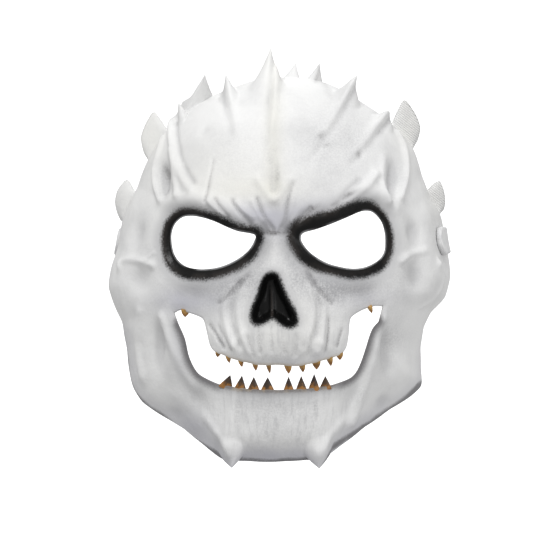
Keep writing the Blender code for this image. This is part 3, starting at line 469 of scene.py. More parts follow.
# Openings and the nose hollow, each a smooth loop through these places
EYE_LEFT = (
    (-15.0, 3.9), (-25.4, 6.1), (-32.6, 8.9), (-39.8, 12.2), (-47.0, 14.6), (-54.3, 15.8),
    (-60.5, 14.9), (-65.2, 10.6), (-67.2, 4.5), (-66.9, -2.4), (-65.1, -8.9), (-61.4, -13.5),
    (-56.3, -16.4), (-48.4, -17.5), (-39.7, -16.8), (-32.5, -14.7), (-25.4, -11.1),
    (-19.0, -6.1), (-15.4, -0.4),
)
EYE_RIGHT = (
    (15.8, 5.1), (24.1, 7.5), (32.9, 10.7), (42.5, 14.7), (49.7, 17.9), (54.0, 19.0),
    (58.5, 18.4), (62.6, 14.9), (65.4, 10.1), (66.8, 2.9), (66.6, -5.1), (64.4, -10.0),
    (60.4, -13.4), (53.6, -16.3), (45.6, -17.1), (36.0, -15.5), (28.1, -12.7),
    (20.1, -7.6), (15.4, -2.1), (13.9, 2.1),
)
NOSE = (
    (-10.3, -25.5), (-7.8, -21.5), (-4.7, -20.3), (-1.0, -21.2), (1.5, -26.8), (5.2, -35.5),
    (8.9, -42.3), (10.8, -47.3), (10.2, -51.6), (6.5, -53.2), (2.1, -51.6), (-1.0, -49.0),
    (-3.8, -47.4), (-6.6, -49.0), (-9.7, -51.0), (-14.0, -51.3), (-16.5, -47.9),
    (-15.9, -41.7), (-12.8, -34.2),
)
MOUTH_UPPER_EDGE = (
    (-65.1, -45.0), (-61.0, -43.2), (-55.9, -44.9), (-50.9, -46.6), (-47.1, -48.9),
    (-45.1, -55.6), (-43.0, -64.7), (-40.0, -68.9), (-35.3, -70.8), (-27.8, -73.7),
    (-19.5, -75.7), (-11.2, -77.2), (0.2, -77.1), (10.4, -77.9), (19.2, -76.6),
    (27.8, -74.4), (35.4, -72.2), (40.4, -69.3), (42.6, -65.5), (43.8, -58.6),
    (44.6, -49.6), (46.5, -46.6), (50.6, -44.0), (55.8, -41.7), (61.2, -40.6), (65.0, -41.0),
)
MOUTH_LOWER_EDGE = (
    (-62.6, -51.9), (-58.6, -61.1), (-56.0, -72.4), (-51.9, -80.8), (-47.3, -84.9),
    (-37.0, -89.5), (-29.1, -91.0), (-21.6, -92.0), (-14.1, -92.6), (-5.4, -92.8),
    (3.4, -92.8), (11.1, -92.4), (18.9, -92.0), (25.8, -91.3), (32.5, -90.1), (43.1, -86.5),
    (47.7, -83.1), (51.1, -77.0), (54.5, -67.1), (56.8, -59.6), (59.1, -54.3), (62.6, -50.4),
)

# Teeth: where the root meets the gum, its width, and the tip
Tooth = namedtuple("Tooth", "root_x root_width tip_x tip_z")
UPPER_TEETH = [Tooth(*row) for row in (
    (-58.2, 4.4, -58.4, -47.6),
    (-37.7, 3.6, -38.1, -72.6),
    (-31.3, 4.8, -30.6, -76.2),
    (-23.4, 5.0, -22.7, -78.6),
    (-14.6, 4.6, -14.1, -81.0),
    (-6.3, 5.2, -5.4, -82.6),
    (5.8, 4.8, 6.3, -82.8),
    (14.6, 4.8, 15.2, -82.0),
    (23.4, 4.8, 23.7, -80.2),
    (31.8, 4.6, 32.7, -78.2),
    (38.0, 4.0, 38.3, -74.4),
    (57.0, 5.0, 58.4, -45.2),
)]
LOWER_TEETH = [Tooth(*row) for row in (
    (-32.6, 7.0, -30.1, -83.6),
    (-23.9, 6.0, -22.8, -83.8),
    (-15.6, 6.2, -15.4, -84.6),
    (-6.9, 7.0, -6.8, -84.8),
    (6.3, 5.4, 6.2, -84.4),
    (14.2, 5.6, 14.1, -84.0),
    (22.1, 5.6, 22.2, -82.8),
    (29.3, 5.8, 29.2, -84.2),
)]

# Round bulges and hollows: half sizes across and along, turned by tilt
Dab = namedtuple("Dab", "x z half_x half_z tilt height")
DABS = [Dab(*row) for row in (
    (-46.5, 70, 5, 5, 0, -1.3),
    (-72, 40, 5, 14, 4, -5.0),
    (72.5, 40, 5.5, 14, -4, -5.0),
    (-8.5, 13, 5, 5, 0, 1.8),
    (7.5, 13, 5, 5, 0, 1.8),
    (-89.5, -24, 15, 11, 0, -4.0),
    (88, -20, 12, 13, 0, -4.0),
    (-90, 5, 12, 15, 0, -4.0),
    (87, 5, 11, 15, 0, -5.0),
    (-101, -15.5, 4, 5, 0, 1.4),
    (102, -14, 4, 5, 0, 1.2),
    (-76.5, -65, 8, 15, 12, -5.0),
    (68.5, -69, 8, 15, -8, -5.5),
    (-52.5, -97, 8, 10, 20, -2.0),
    (44.5, -98, 8, 12, -20, -2.0),
    (-35.5, -117, 6, 8, 0, 1.4),
    (33, -116, 6, 8, 0, 1.2),
    (-66, -108, 10, 8, 35, -2.0),
    (66, -102, 10, 8, -35, -2.5),
    (-57, -33, 14, 7, 0, -2.5),
    (53, -33, 14, 7, 0, -2.5),
    (-1.5, -64, 34, 15, 0, 5.0),
    (-2, -30, 20, 26, 0, 3.0),
    (-1.5, -122, 30, 14, 0, 3.0),
    (-47, -24, 20, 8, 0, 2.0),
    (45, -24, 20, 8, 0, 2.0),
)]

# Long ridges (height above 0) and grooves: the height at the start and end of each path
Stroke = namedtuple("Stroke", "name half_width start end path")
STROKES = [Stroke(*row) for row in (
    ("centre ridge", 3.2, 3.8, 0.8, ((-6.5, 118.5), (-3.5, 111), (-1.5, 99), (-2, 85.5), (-3.5, 69.5))),
    ("centre groove left", 2.6, -1.5, -0.6, ((-4, 102.5), (-6, 92.5), (-7.5, 79), (-8, 63), (-6, 49.5))),
    ("centre groove right", 2.4, -1.5, -0.5, ((1.5, 106), (1, 94.5), (0.5, 83.5), (-1, 69.5), (-1, 57))),
    ("centre hollow", 3.4, -0.8, -1.5, ((-3.5, 57), (-4, 44.5), (-3.5, 31))),
    ("frown arm left", 2.8, 1.4, 1.4, ((-13, 38), (-8, 31.5), (-3.5, 25.5))),
    ("frown arm right", 2.8, 1.4, 1.4, ((7.5, 38), (2.5, 31.5), (-2, 25.5))),
    ("crown ridge 2", 3.2, 3.6, 0.5, ((-33, 101), (-30, 91.5), (-28.5, 81.5), (-26, 67))),
    ("crown groove 2", 2.8, -1.5, -0.5, ((-36.5, 94.5), (-34, 85.5), (-31.5, 76), (-30, 66))),
    ("temple ridge left", 3.0, 4.0, 1.4, (
        (-65, 85.5), (-68, 76.5), (-68, 65.5), (-66.5, 55), (-63.5, 46), (-59.5, 37), (-55, 32),
    )),
    ("temple groove left", 2.2, -1.5, -1.2, (
        (-64.5, 82.5), (-65, 74), (-64.5, 67), (-63, 58.5), (-60.5, 49), (-57.5, 43), (-53.5, 37),
    )),
    ("crown ridge 3", 3.4, 4.6, 0.6, (
        (47.5, 101), (41.5, 91), (35.5, 79.5), (30.5, 71), (24.5, 61.5), (19, 53.5),
    )),
    ("crown groove 3", 3.0, -1.5, -0.8, (
        (46, 91), (40.5, 82), (35.5, 73), (29.5, 64.5), (24, 57.5), (19.5, 51),
    )),
    ("crown ridge 4", 3.4, 4.6, 0.5, ((68, 80), (61.5, 73.5), (56.5, 65.5), (50, 57), (44, 51))),
    ("crown groove 4", 3.0, -1.5, -0.8, ((68, 73), (62.5, 68), (57, 61), (51, 54.5), (46, 49))),
    ("temple rim left", 3.2, 2.0, 3.2, ((-73.5, 66), (-76, 56), (-78, 46.5), (-77.5, 36.5), (-74, 26))),
    ("temple inner rim left", 2.8, 1.2, 2.2, ((-68.5, 56.5), (-66.5, 47.5), (-65, 38), (-63, 28.5))),
    ("temple rim right", 3.2, 2.0, 3.2, ((75.5, 69.5), (79, 61.5), (80.5, 51.5), (80, 40.5), (76.5, 28.5))),
    ("temple inner rim right", 2.8, 1.2, 2.2, ((66.5, 52.5), (65, 42), (65.5, 32), (68, 24.5))),
    ("brow crest right", 3.2, 2.8, 2.0, ((61, 42), (56, 36), (49, 30), (41.5, 23.5), (34, 19.5))),
    ("brow groove long", 2.4, -1.4, -1.5, ((50.5, 38), (44.5, 32), (39.5, 26), (34, 22), (27, 18.5))),
    ("brow left", 6.5, 2.5, 3.6, ((-70, 24), (-55.5, 25.5), (-40.5, 21), (-26.5, 15), (-14, 9))),
    ("brow right", 6.5, 2.5, 3.6, ((73, 22), (62, 29), (51, 26), (35.5, 19), (21, 13), (12, 9))),
    ("bridge crease", 2.4, -1.5, -1.5, ((-9.5, 5.5), (-1, 3.5), (7.5, 5.5))),
    ("nose bridge", 6.0, 2.5, 2.0, ((-1, 0.5), (-1.5, -9), (-2.5, -17.5))),
    ("cheek bar left", 2.8, 0.8, 2.4, (
        (-102, -13.5), (-96.5, -11.5), (-91.5, -11.5), (-85.5, -13.5), (-79.5, -15),
    )),
    ("cheek bar right", 2.8, 2.6, 0.8, ((77.5, -12.5), (81.5, -10), (86, -8), (94, -5.5))),
    ("nose groove left", 2.4, -1.5, -1.4, (
        (-23.5, -27), (-26.5, -32.5), (-29, -40.5), (-29.5, -48.5), (-27, -56.5), (-24, -64.5),
    )),
    ("nose fold left", 2.6, 1.6, 2.0, (
        (-29, -29.5), (-32, -35.5), (-33.5, -41.5), (-32.5, -49), (-30, -57.5), (-28, -65.5),
    )),
    ("nose groove right", 2.4, -1.5, -1.4, ((19, -22.5), (23, -32), (25, -41), (24, -50.5), (22, -59.5))),
    ("nose fold right", 2.6, 1.6, 2.0, ((24, -30.5), (27.5, -40), (27.5, -49), (26.5, -58.5), (26, -68))),
    ("jaw side left", 4.6, 1.6, 2.4, ((-87.5, -44.5), (-89, -59), (-88.5, -72), (-86, -85))),
    ("jaw ridge left", 3.8, 2.4, 1.6, ((-73.5, -48), (-70, -59), (-65.5, -69.5), (-60.5, -80), (-55, -89.5))),
    ("jaw ridge right", 3.8, 2.8, 2.6, (
        (66, -50.5), (62.5, -65), (59, -77.5), (55.5, -87), (51, -99.5), (46, -113.5),
    )),
    ("chin ridge left", 3.2, 1.2, 2.6, ((-27, -94), (-28.5, -108.5), (-30, -123))),
    ("chin ridge right", 3.2, 1.2, 2.6, ((23.5, -96), (23.5, -108.5), (23, -124.5))),
    ("chin corner left", 3.4, 1.4, 2.2, ((-45, -111), (-38.5, -118.5), (-31.5, -125))),
    ("chin corner right", 3.4, 1.4, 2.2, ((38.5, -114), (31.5, -120.5), (24.5, -126.5))),
)]

# Folds and creases too fine for the solids
FINE_STROKES = [Stroke(*row) for row in (
    ("brow fold 1", 1.5, 1.6, 2.0, ((-43.5, 24.5), (-39.5, 20), (-34, 15))),
    ("brow crease 1", 1.2, -1.4, -1.8, ((-39.5, 26), (-35.5, 20), (-31, 14.5))),
    ("brow fold 2", 1.5, 1.5, 1.9, ((-25.5, 23.5), (-21, 18.5), (-15.5, 14.5))),
    ("brow crease 2", 1.3, -1.3, -1.6, ((-29, 25), (-26, 20), (-21.5, 15), (-17, 10.5))),
    ("brow fold 3", 1.5, 1.2, 1.5, ((-16.5, 24.5), (-13.5, 18), (-9.5, 12.5))),
    ("brow crease 3", 1.2, -1.0, -1.9, ((-13.5, 26.5), (-10.5, 18.5), (-6.5, 12), (-3, 7))),
    ("brow crease 4", 1.1, -0.8, -1.2, ((-22, 13), (-16.5, 8.5), (-10.5, 5.5))),
    ("brow crease 5", 1.3, -0.7, -1.8, ((9, 36), (6, 25.5), (4, 13.5), (1, 7))),
    ("brow crease 6", 1.5, -1.7, -2.0, ((20, 20.5), (15, 15), (8.5, 8))),
    ("brow fold 6", 1.5, 1.0, 1.3, ((14, 21), (9.5, 15), (5, 9.5))),
    ("brow thin line", 1.3, -0.7, -1.4, ((-41, 51), (-43.5, 38), (-45.5, 25))),
    ("cheek spur left", 1.6, 1.2, 0.8, ((-86.5, -13), (-82, -10.5), (-78.5, -7.5))),
    ("cheek edge right", 2.4, 0.6, 1.2, (
        (102.5, -13), (105.5, -21), (103.5, -29.5), (97.5, -37), (89.5, -41.5),
    )),
    ("cheek crease left", 1.8, -1.4, -1.0, ((-19.5, -22), (-26.5, -28.5), (-32, -35), (-37, -38.5))),
    ("cheek crease right", 1.8, -1.4, -1.0, ((18, -19.5), (23, -27.5), (29, -35), (33, -38.5))),
    ("nose ridge left", 1.7, 0.9, 1.4, (
        (-22, -29.5), (-24.5, -36.5), (-25, -44), (-23, -53.5), (-20.5, -61.5), (-18.5, -69),
    )),
    ("nose ridge right", 1.7, 0.9, 1.4, ((19.5, -28.5), (21, -38), (21, -47.5), (18, -58.5), (16.5, -68))),
    ("maxilla crease 1", 1.4, -1.2, -1.5, ((-42.5, -52.5), (-38.5, -58.5), (-34, -66))),
    ("maxilla crease 2", 1.3, -0.8, -1.2, ((-37, -53.5), (-32.5, -60.5), (-29.5, -67.5))),
    ("maxilla crease 3", 1.4, -1.0, -1.5, ((30.5, -49), (30, -58.5), (29, -68))),
    ("maxilla crease 4", 1.4, -1.0, -1.2, ((39, -56), (36.5, -65))),
    ("lip crease 1", 1.2, -0.8, -0.9, ((-12, -54), (-11, -69))),
    ("lip crease 2", 1.2, -0.9, -0.6, ((-4.5, -53), (-4, -68))),
    ("lip crease 3", 1.2, -0.6, -0.8, ((2.5, -55.5), (3.5, -69))),
    ("lip crease 4", 1.2, -0.8, -0.9, ((11, -58), (10, -70.5))),
    ("chin crease left", 2.8, -0.7, -0.4, ((-24, -94), (-25.5, -108), (-26, -124))),
    ("chin crease right", 2.8, -0.7, -0.4, ((23, -94), (22.5, -108), (22, -124))),
    ("chin ridge left", 2.6, 0.7, 1.2, ((-29, -96), (-30.5, -110), (-31, -126))),
    ("chin ridge right", 2.6, 0.7, 1.2, ((27.5, -96), (28, -110), (28, -126))),
    ("chin crease middle", 1.6, -0.5, -0.5, ((-8, -97), (-8.5, -110), (-8, -122))),
    ("lip crease 5", 1.2, -0.7, -0.8, ((-18, -60), (-15.5, -71.5))),
    ("lip crease 6", 1.2, -0.6, -0.8, ((19, -58), (17.5, -71.5))),
)]

# Ridges on the floor of the nose hollow
NOSE_STROKES = [Stroke(*row) for row in (
    ("nose partition", 1.1, 1.2, 2.0, ((-4.9, -25), (-4.4, -36), (-4.0, -46))),
    ("nostril ridge left", 0.8, 0.9, 0.7, ((-7.0, -25), (-9.0, -34), (-10.5, -43))),
    ("nostril ridge right", 0.8, 0.9, 0.7, ((-2.6, -26), (0.5, -34), (3.5, -43))),
)]

# Small hollows and knobs too fine for the solids
FINE_DABS = [Dab(*row) for row in (
    (28, 65, 2.6, 5.5, -38, -1.3),
    (50.5, 54.5, 2.2, 3.5, -38, -0.9),
    (-51.5, 98.5, 3, 3, 0, -1.0),
    (-74, 42, 2.2, 8, 5, -1.2),
    (-100.5, -16, 2.2, 3.5, 0, 0.9),
    (102, -14, 2.0, 3.0, 0, 0.9),
)]

# Tooth roots that show as flutes over the upper gum: from one side to the other, and how high they are
FLUTE_COUNT = 9
FLUTE_HALF_WIDTH = 2.0
FLUTE_HEIGHT = 0.8
FLUTE_TOP = (-19.0, 14.0, -56.0)
FLUTE_FOOT = (-33.0, 34.0, -69.0)
FLUTE_BOW = 6.0

# Spikes: foot and tip, the half sizes of the foot round the head and up it, and how hollow the sides are
Spike = namedtuple("Spike", "foot_x foot_z tip_x tip_y tip_z half_round half_up flare")
SPIKES = [Spike(*row) for row in (
    (-7.5, 99, -4.9, -44, 123.4, 14, 20, 1.9),
    (-32, 92, -33, -48, 104.8, 7, 13, 1.3),
    (-54.5, 87.5, -46.6, -42, 106.2, 14.5, 14, 1.1),
    (-62, 78, -63.4, -40, 88.6, 5.5, 9, 1.1),
    (43.5, 91, 49.3, -42, 103.8, 10, 14, 1.3),
    (66.5, 75, 70.2, -38, 81.0, 9, 10, 1.1),
    (-30, -131, -28.9, -80, -141.6, 9, 10, 1.0),
    (25.5, -130.5, 25.2, -80, -142.0, 10, 10, 1.0),
)]

# Two spikes behind the crown: direction and turn of the foot instead of a place
BackSpike = namedtuple("BackSpike", "angle turn tip_x tip_y tip_z half_round half_up flare")
BACK_SPIKES = [BackSpike(*row) for row in (
    (86, 97, 11.2, -6, 115.4, 6.5, 9, 1.4),
    (79, 97, 26.4, -6, 115.0, 6, 9, 1.2),
)]

# Flat fins on the sides: the directions between which each one stands, and its crest in the front view
Fin = namedtuple("Fin", "first last crest")
FINS = [Fin(*row) for row in (
    (128.6, 141.9, (
        (-70.5, 73.5), (-75.5, 78.5), (-80, 83.6), (-84.5, 78), (-88.2, 69), (-88, 62.5), (-85, 51.5),
    )),
    (152.4, 165.2, (
        (-92, 33), (-94.5, 37), (-97.5, 40.3), (-101.5, 37), (-104.4, 32), (-105.4, 24.5), (-103, 15),
        (-99, 10),
    )),
    (51.9, 40.2, (
        (72.5, 77.5), (76.5, 84.8), (80.8, 91.2), (86, 85.5), (90, 78), (91, 71), (87.5, 59),
    )),
    (27.1, 17.0, (
        (95, 33.5), (99, 37), (103.5, 39.3), (106, 35), (107.4, 29), (107.4, 24), (105.5, 17),
    )),
)]

# Where the strap is glued on: direction, turn at the middle of the tab, and the flat dent under it
Tab = namedtuple("Tab", "name angle turn dent")
TABS = [Tab(*row) for row in (
    ("right", 8.5, 78.0, -2.2),
    ("left", 171.5, 97.5, -3.0),
)]

# The free part of the band, from behind the right rim round the back of the head to the left
BAND_ROUTE = (
    (107.0, 43.0, -5.0),
    (98.5, 63.0, -14.0),
    (82.0, 81.0, -24.5),
    (56.0, 94.5, -30.0),
    (24.0, 101.5, -31.5),
    (-8.0, 102.5, -31.5),
    (-40.0, 98.5, -31.5),
    (-69.0, 86.5, -28.5),
    (-89.0, 68.0, -17.5),
    (-99.0, 50.0, -6.5),
)
BAND_STEPS = 44
BAND_LINES = 3


def smooth_step(low, high, value):
    share = np.clip((value - low) / (high - low), 0.0, 1.0)
    return share * share * (3.0 - 2.0 * share)


def smooth_path(points, closed=False, steps=6):
    """More points on a smooth curve through the given ones."""
    points = np.asarray(points, float)
    if closed:
        before, after, after2 = np.roll(points, 1, 0), np.roll(points, -1, 0), np.roll(points, -2, 0)
    else:
        first = 2 * points[0] - points[1]
        last = 2 * points[-1] - points[-2]
        longer = np.vstack([first, points, last])
        before, points, after, after2 = longer[:-3], longer[1:-2], longer[2:-1], longer[3:]
    share = np.arange(steps)[None, :, None] / steps
    p0, p1, p2, p3 = (p[:, None, :] for p in (before, points, after, after2))
    curve = 0.5 * (
        2 * p1
        + (p2 - p0) * share
        + (2 * p0 - 5 * p1 + 4 * p2 - p3) * share**2
        + (3 * p1 - p0 - 3 * p2 + p3) * share**3
    )
    curve = curve.reshape(-1, points.shape[1])
    return curve if closed else np.vstack([curve, after[-1]])


def distances_along(path):
    """How far along a path each of its points lies."""
    return np.concatenate([[0.0], np.cumsum(np.linalg.norm(np.diff(path, axis=0), axis=1))])


def resampled(path, count):
    """The given number of points at even distances along a path, its ends among them."""
    along = distances_along(path)
    at = np.linspace(0.0, along[-1], count)
    return np.column_stack([np.interp(at, along, path[:, k]) for k in range(path.shape[1])])


def spaced(path, step, closed=False):
    """Points at even distances of about one step along a path."""
    path = np.vstack([path, path[:1]]) if closed else path
    length = distances_along(path)[-1]
    found = resampled(path, max(3, round(length / step)) + 1)
    return found[:-1] if closed else found


def circular_blur(values, width):
    reach = np.arange(-4 * width, 4 * width + 1)
    weights = np.exp(-0.5 * (reach / width) ** 2)
    total = sum(weight * np.roll(values, shift) for weight, shift in zip(weights, reach))
    return total / weights.sum()


DIRECTIONS = np.arange(360.0)


def ring_tables():
    """Each column of the outline at every degree, and the radius without its bays."""
    angles, *columns = np.array(OUTLINE).T
    tables = {}
    for name, column in zip(OUTLINE_COLUMNS[1:], columns):
        width = RADIUS_BLUR if name == "radius" else COLUMN_BLUR
        tables[name] = circular_blur(np.interp(DIRECTIONS, angles, column, period=360), width)
    tables["mean_radius"] = circular_blur(tables["radius"], BAY_BLUR)
    return tables


RING = ring_tables()


def ring(name, angle):
    return np.interp(angle, DIRECTIONS, RING[name], period=360)


def front_depth(z):
    heights, depths = np.array(FRONT).T
    around = np.interp(z - FRONT_BLUR, heights, depths) + np.interp(z + FRONT_BLUR, heights, depths)
    return 0.5 * np.interp(z, heights, depths) + 0.25 * around


def base_place(u, v):
    """The smooth form that the relief stands on, as (x, y, z) in mm."""
    angle = np.degrees(np.arctan2(v, u))
    turn = np.hypot(u, v) / SHEET_PER_RADIAN
    lean = np.radians(ring("lean", angle))
    share = np.sin(turn) / np.sin(lean)
    mean = ring("mean_radius", angle)
    radius = share * (mean + (ring("radius", angle) - mean) * smooth_step(BAYS_FROM, 1.0, share))
    x = radius * np.cos(np.radians(angle))
    z = FACE_MIDDLE_Z + radius * np.sin(np.radians(angle))
    rise = (np.cos(turn) - np.cos(lean)) / (1.0 - np.cos(lean))
    edge = ring("edge_y", angle)
    return np.stack([x, edge - (front_depth(z) + edge) * rise, z], axis=-1)


def sheet_place(x, z):
    """The layout place (u, v) that shows at (x, z) in the front view."""
    x, z = np.asarray(x, float), np.asarray(z, float)
    angle = np.degrees(np.arctan2(z - FACE_MIDDLE_Z, x))
    distance = np.hypot(x, z - FACE_MIDDLE_Z)
    mean, full = ring("mean_radius", angle), ring("radius", angle)
    share = distance / full
    for _ in range(SOLVE_ROUNDS):
        share = distance / (mean + (full - mean) * smooth_step(BAYS_FROM, 1.0, share))
    turn = np.arcsin(np.clip(share * np.sin(np.radians(ring("lean", angle))), 0.0, 0.9999))
    return layout(angle, np.degrees(turn))


def layout(angle, turn):
    reach = np.radians(turn) * SHEET_PER_RADIAN
    return np.stack([reach * np.cos(np.radians(angle)), reach * np.sin(np.radians(angle))], axis=-1)


def outward(u, v):
    step = 0.2
    along_u = base_place(u + step, v) - base_place(u - step, v)
    along_v = base_place(u, v + step) - base_place(u, v - step)
    normal = np.cross(along_u, along_v)
    return normal / np.linalg.norm(normal, axis=-1, keepdims=True)


def boxed(u, v, path, reach):
    """Whether each place lies in the box round a path, grown by a reach."""
    low, high = path.min(axis=0) - reach, path.max(axis=0) + reach
    return (u > low[0]) & (u < high[0]) & (v > low[1]) & (v < high[1])


def path_distance(u, v, path, reach=RELIEF_REACH):
    """Distance to a path, at most the reach, and how far along the path its nearest point is, 0 to 1."""
    used = boxed(u, v, path, reach)
    near_u, near_v = u[used], v[used]
    lengths = np.linalg.norm(np.diff(path, axis=0), axis=1)
    starts = np.concatenate([[0.0], np.cumsum(lengths)])
    best = np.full(near_u.shape, reach)
    best_along = np.zeros(near_u.shape)
    for (ax, ay), (bx, by), length, start in zip(path[:-1], path[1:], lengths, starts):
        dx, dy = bx - ax, by - ay
        share = np.clip(((near_u - ax) * dx + (near_v - ay) * dy) / (length * length), 0.0, 1.0)
        distance = np.hypot(near_u - ax - share * dx, near_v - ay - share * dy)
        nearer = distance < best
        best = np.where(nearer, distance, best)
        best_along = np.where(nearer, (start + share * length) / starts[-1], best_along)
    found, along = np.full(u.shape, reach), np.zeros(u.shape)
    found[used], along[used] = best, best_along
    return found, along


def inside(u, v, loop):
    """Whether each place lies within a closed loop."""
    used = boxed(u, v, loop, 0.0)
    near_u, near_v = u[used], v[used]
    crossed = np.zeros(near_u.shape, bool)
    for (ax, ay), (bx, by) in zip(loop, np.roll(loop, -1, 0)):
        if ay == by:
            continue
        crosses = (ay > near_v) != (by > near_v)
        crossed ^= crosses & (near_u < (bx - ax) * (near_v - ay) / (by - ay) + ax)
    found = np.zeros(u.shape, bool)
    found[used] = crossed
    return found


def loop_depth(u, v, loop):
    """Distance to a closed loop, above 0 within it, up to the reach of the relief."""
    distance, _ = path_distance(u, v, np.vstack([loop, loop[:1]]))
    return np.where(inside(u, v, loop), distance, -distance)


def stretch(place):
    """Real millimetres per layout millimetre at a place: away from the middle of the face, and round it."""
    away = place / np.linalg.norm(place)
    step = 0.5 * np.stack([away, [-away[1], away[0]]])
    ahead, behind = place + step, place - step
    moved = base_place(ahead[:, 0], ahead[:, 1]) - base_place(behind[:, 0], behind[:, 1])
    return np.linalg.norm(moved, axis=1)


def axes(place):
    """Layout directions away from the middle of the face and round it, one real millimetre long."""
    away = place / np.linalg.norm(place)
    along, around = stretch(place)
    return away / along, np.array([-away[1], away[0]]) / around


def on_sheet(points):
    points = np.asarray(points, float)
    return sheet_place(points[:, 0], points[:, 1])


def mouth_edges():
    """The two gum lines without their teeth, from the left corner to the right one."""
    return smooth_path(MOUTH_UPPER_EDGE), smooth_path(MOUTH_LOWER_EDGE)


def rim_loop(step):
    turn = RING["lean"] + RING["skirt"]
    return spaced(layout(DIRECTIONS, turn), step, closed=True)


EYE_LOOPS = [on_sheet(smooth_path(eye, closed=True, steps=3)) for eye in (EYE_LEFT, EYE_RIGHT)]
NOSE_LOOP = on_sheet(smooth_path(NOSE, closed=True, steps=2))
MOUTH_LOOP = on_sheet(np.vstack([spaced(mouth_edges()[0], 4.0), spaced(mouth_edges()[1], 4.0)[::-1]]))
STROKE_PATHS = [on_sheet(smooth_path(stroke.path, steps=3)) for stroke in STROKES]
NOSE_PATHS = [on_sheet(smooth_path(stroke.path, steps=4)) for stroke in NOSE_STROKES]
FINE_PATHS = [on_sheet(smooth_path(stroke.path, steps=4)) for stroke in FINE_STROKES]


def flutes():
    """Straight ribs that fan out from the nose to the upper teeth."""
    rows = []
    for number in range(FLUTE_COUNT):
        share = number / (FLUTE_COUNT - 1)
        top_x = FLUTE_TOP[0] + share * (FLUTE_TOP[1] - FLUTE_TOP[0])
        foot_x = FLUTE_FOOT[0] + share * (FLUTE_FOOT[1] - FLUTE_FOOT[0])
        foot_z = FLUTE_FOOT[2] - FLUTE_BOW * math.sin(math.pi * share)
        rows.append(on_sheet([(top_x, FLUTE_TOP[2]), (foot_x, foot_z)]))
    return rows


FLUTE_PATHS = flutes()


def bell(share):
    return np.exp(-(share**2))


def edge_gap(u, v, loops):
    """Distance to the nearest of the openings, 0 within them."""
    return np.min([np.maximum(-loop_depth(u, v, loop), 0.0) for loop in loops], axis=0)


def deep_relief(u, v, widen):
    """What the inner face of the wall follows too: the eye sockets, the lip and the nose hollow."""
    sockets = SOCKET_DEPTH * bell(edge_gap(u, v, EYE_LOOPS) / SOCKET_WIDTH)
    lip = LIP_DEPTH * bell(edge_gap(u, v, [MOUTH_LOOP]) / LIP_WIDTH)
    slope_end = NOSE_SLOPE - NOSE_STEEPER * widen
    nose = NOSE_DEPTH * smooth_step(-widen, slope_end, loop_depth(u, v, NOSE_LOOP))
    return -sockets - lip - nose


def raised(u, v, height):
    """The base form moved by a height: square to it, but straight ahead near an opening.

    So an opening's edge stays where the front view has it, and its wall is cut straight through.
    """
    square = outward(u, v)
    ahead = np.zeros(square.shape)
    ahead[..., 1] = 1.0 / np.minimum(square[..., 1], -LEAST_AHEAD)
    share = bell(edge_gap(u, v, [*EYE_LOOPS, MOUTH_LOOP]) / AHEAD_WIDTH)[..., None]
    return base_place(u, v) + height[..., None] * (square + share * (ahead - square))


def stroke_heights(u, v, strokes, paths):
    """The heights of ridges and of grooves at each place, each kind added up."""
    ridges, grooves = np.zeros(u.shape), np.zeros(u.shape)
    for stroke, path in zip(strokes, paths):
        distance, along = path_distance(u, v, path, STROKE_REACH * stroke.half_width)
        height = (stroke.start + (stroke.end - stroke.start) * along) * bell(distance / stroke.half_width)
        if stroke.end > 0.0:
            ridges += height
        else:
            grooves += height
    return ridges, grooves


def stroke_relief(u, v):
    """Ridges and grooves, with grooves that cross no deeper than one."""
    ridges, grooves = stroke_heights(u, v, STROKES, STROKE_PATHS)
    height = ridges + grooves
    for path in FLUTE_PATHS:
        distance, _ = path_distance(u, v, path, STROKE_REACH * FLUTE_HALF_WIDTH)
        height += FLUTE_HEIGHT * bell(distance / FLUTE_HALF_WIDTH)
    return np.maximum(height, -DEEPEST_GROOVE)


def turned_offset(u, v, middle, tilt):
    """How far each place lies from a middle, across and along axes turned by a tilt."""
    turned = math.radians(tilt)
    across = (u - middle[0]) * math.cos(turned) + (v - middle[1]) * math.sin(turned)
    along = (v - middle[1]) * math.cos(turned) - (u - middle[0]) * math.sin(turned)
    return across, along


def dab_relief(u, v, dabs):
    height = np.zeros(u.shape)
    for dab in dabs:
        across, along = turned_offset(u, v, sheet_place(dab.x, dab.z), dab.tilt)
        height += dab.height * bell(across / dab.half_x) * bell(along / dab.half_z)
    return height


def tab_distances(u, v):
    """Each tab with the distances from its middle."""
    middles = [layout(tab.angle, tab.turn) for tab in TABS]
    return [(tab, np.hypot(u - middle[0], v - middle[1])) for tab, middle in zip(TABS, middles)]


def tab_dent(tab, distance):
    """The flat dent that a tab lies in."""
    return tab.dent * np.exp(-((distance / DENT_WIDTH) ** 4))


def surface_relief(u, v):
    """Ridges, grooves, bulges and dents of the outer face, which is plain under the tabs."""
    height = dab_relief(u, v, DABS) + stroke_relief(u, v)
    for tab, distance in tab_distances(u, v):
        height *= 1.0 - np.exp(-((distance / PLAIN_WIDTH) ** 6))
        height += tab_dent(tab, distance)
    return height


def spike_feet():
    """Each spike with the place of its foot on the sheet."""
    front = [(spike, sheet_place(spike.foot_x, spike.foot_z)) for spike in SPIKES]
    return front + [(spike, layout(spike.angle, spike.turn)) for spike in BACK_SPIKES]


def spike_reach(u, v):
    reach = np.zeros(u.shape + (3,))
    for spike, foot in spike_feet():
        up, round_head = axes(foot)
        du, dv = u - foot[0], v - foot[1]
        across = (du * round_head[0] + dv * round_head[1]) / (spike.half_round * round_head @ round_head)
        along = (du * up[0] + dv * up[1]) / (spike.half_up * up @ up)
        weight = np.clip(1.0 - np.hypot(across, along), 0.0, 1.0) ** spike.flare
        tip = np.array([spike.tip_x, spike.tip_y, spike.tip_z])
        reach += weight[..., None] * (tip - base_place(foot[0], foot[1]))
    return reach


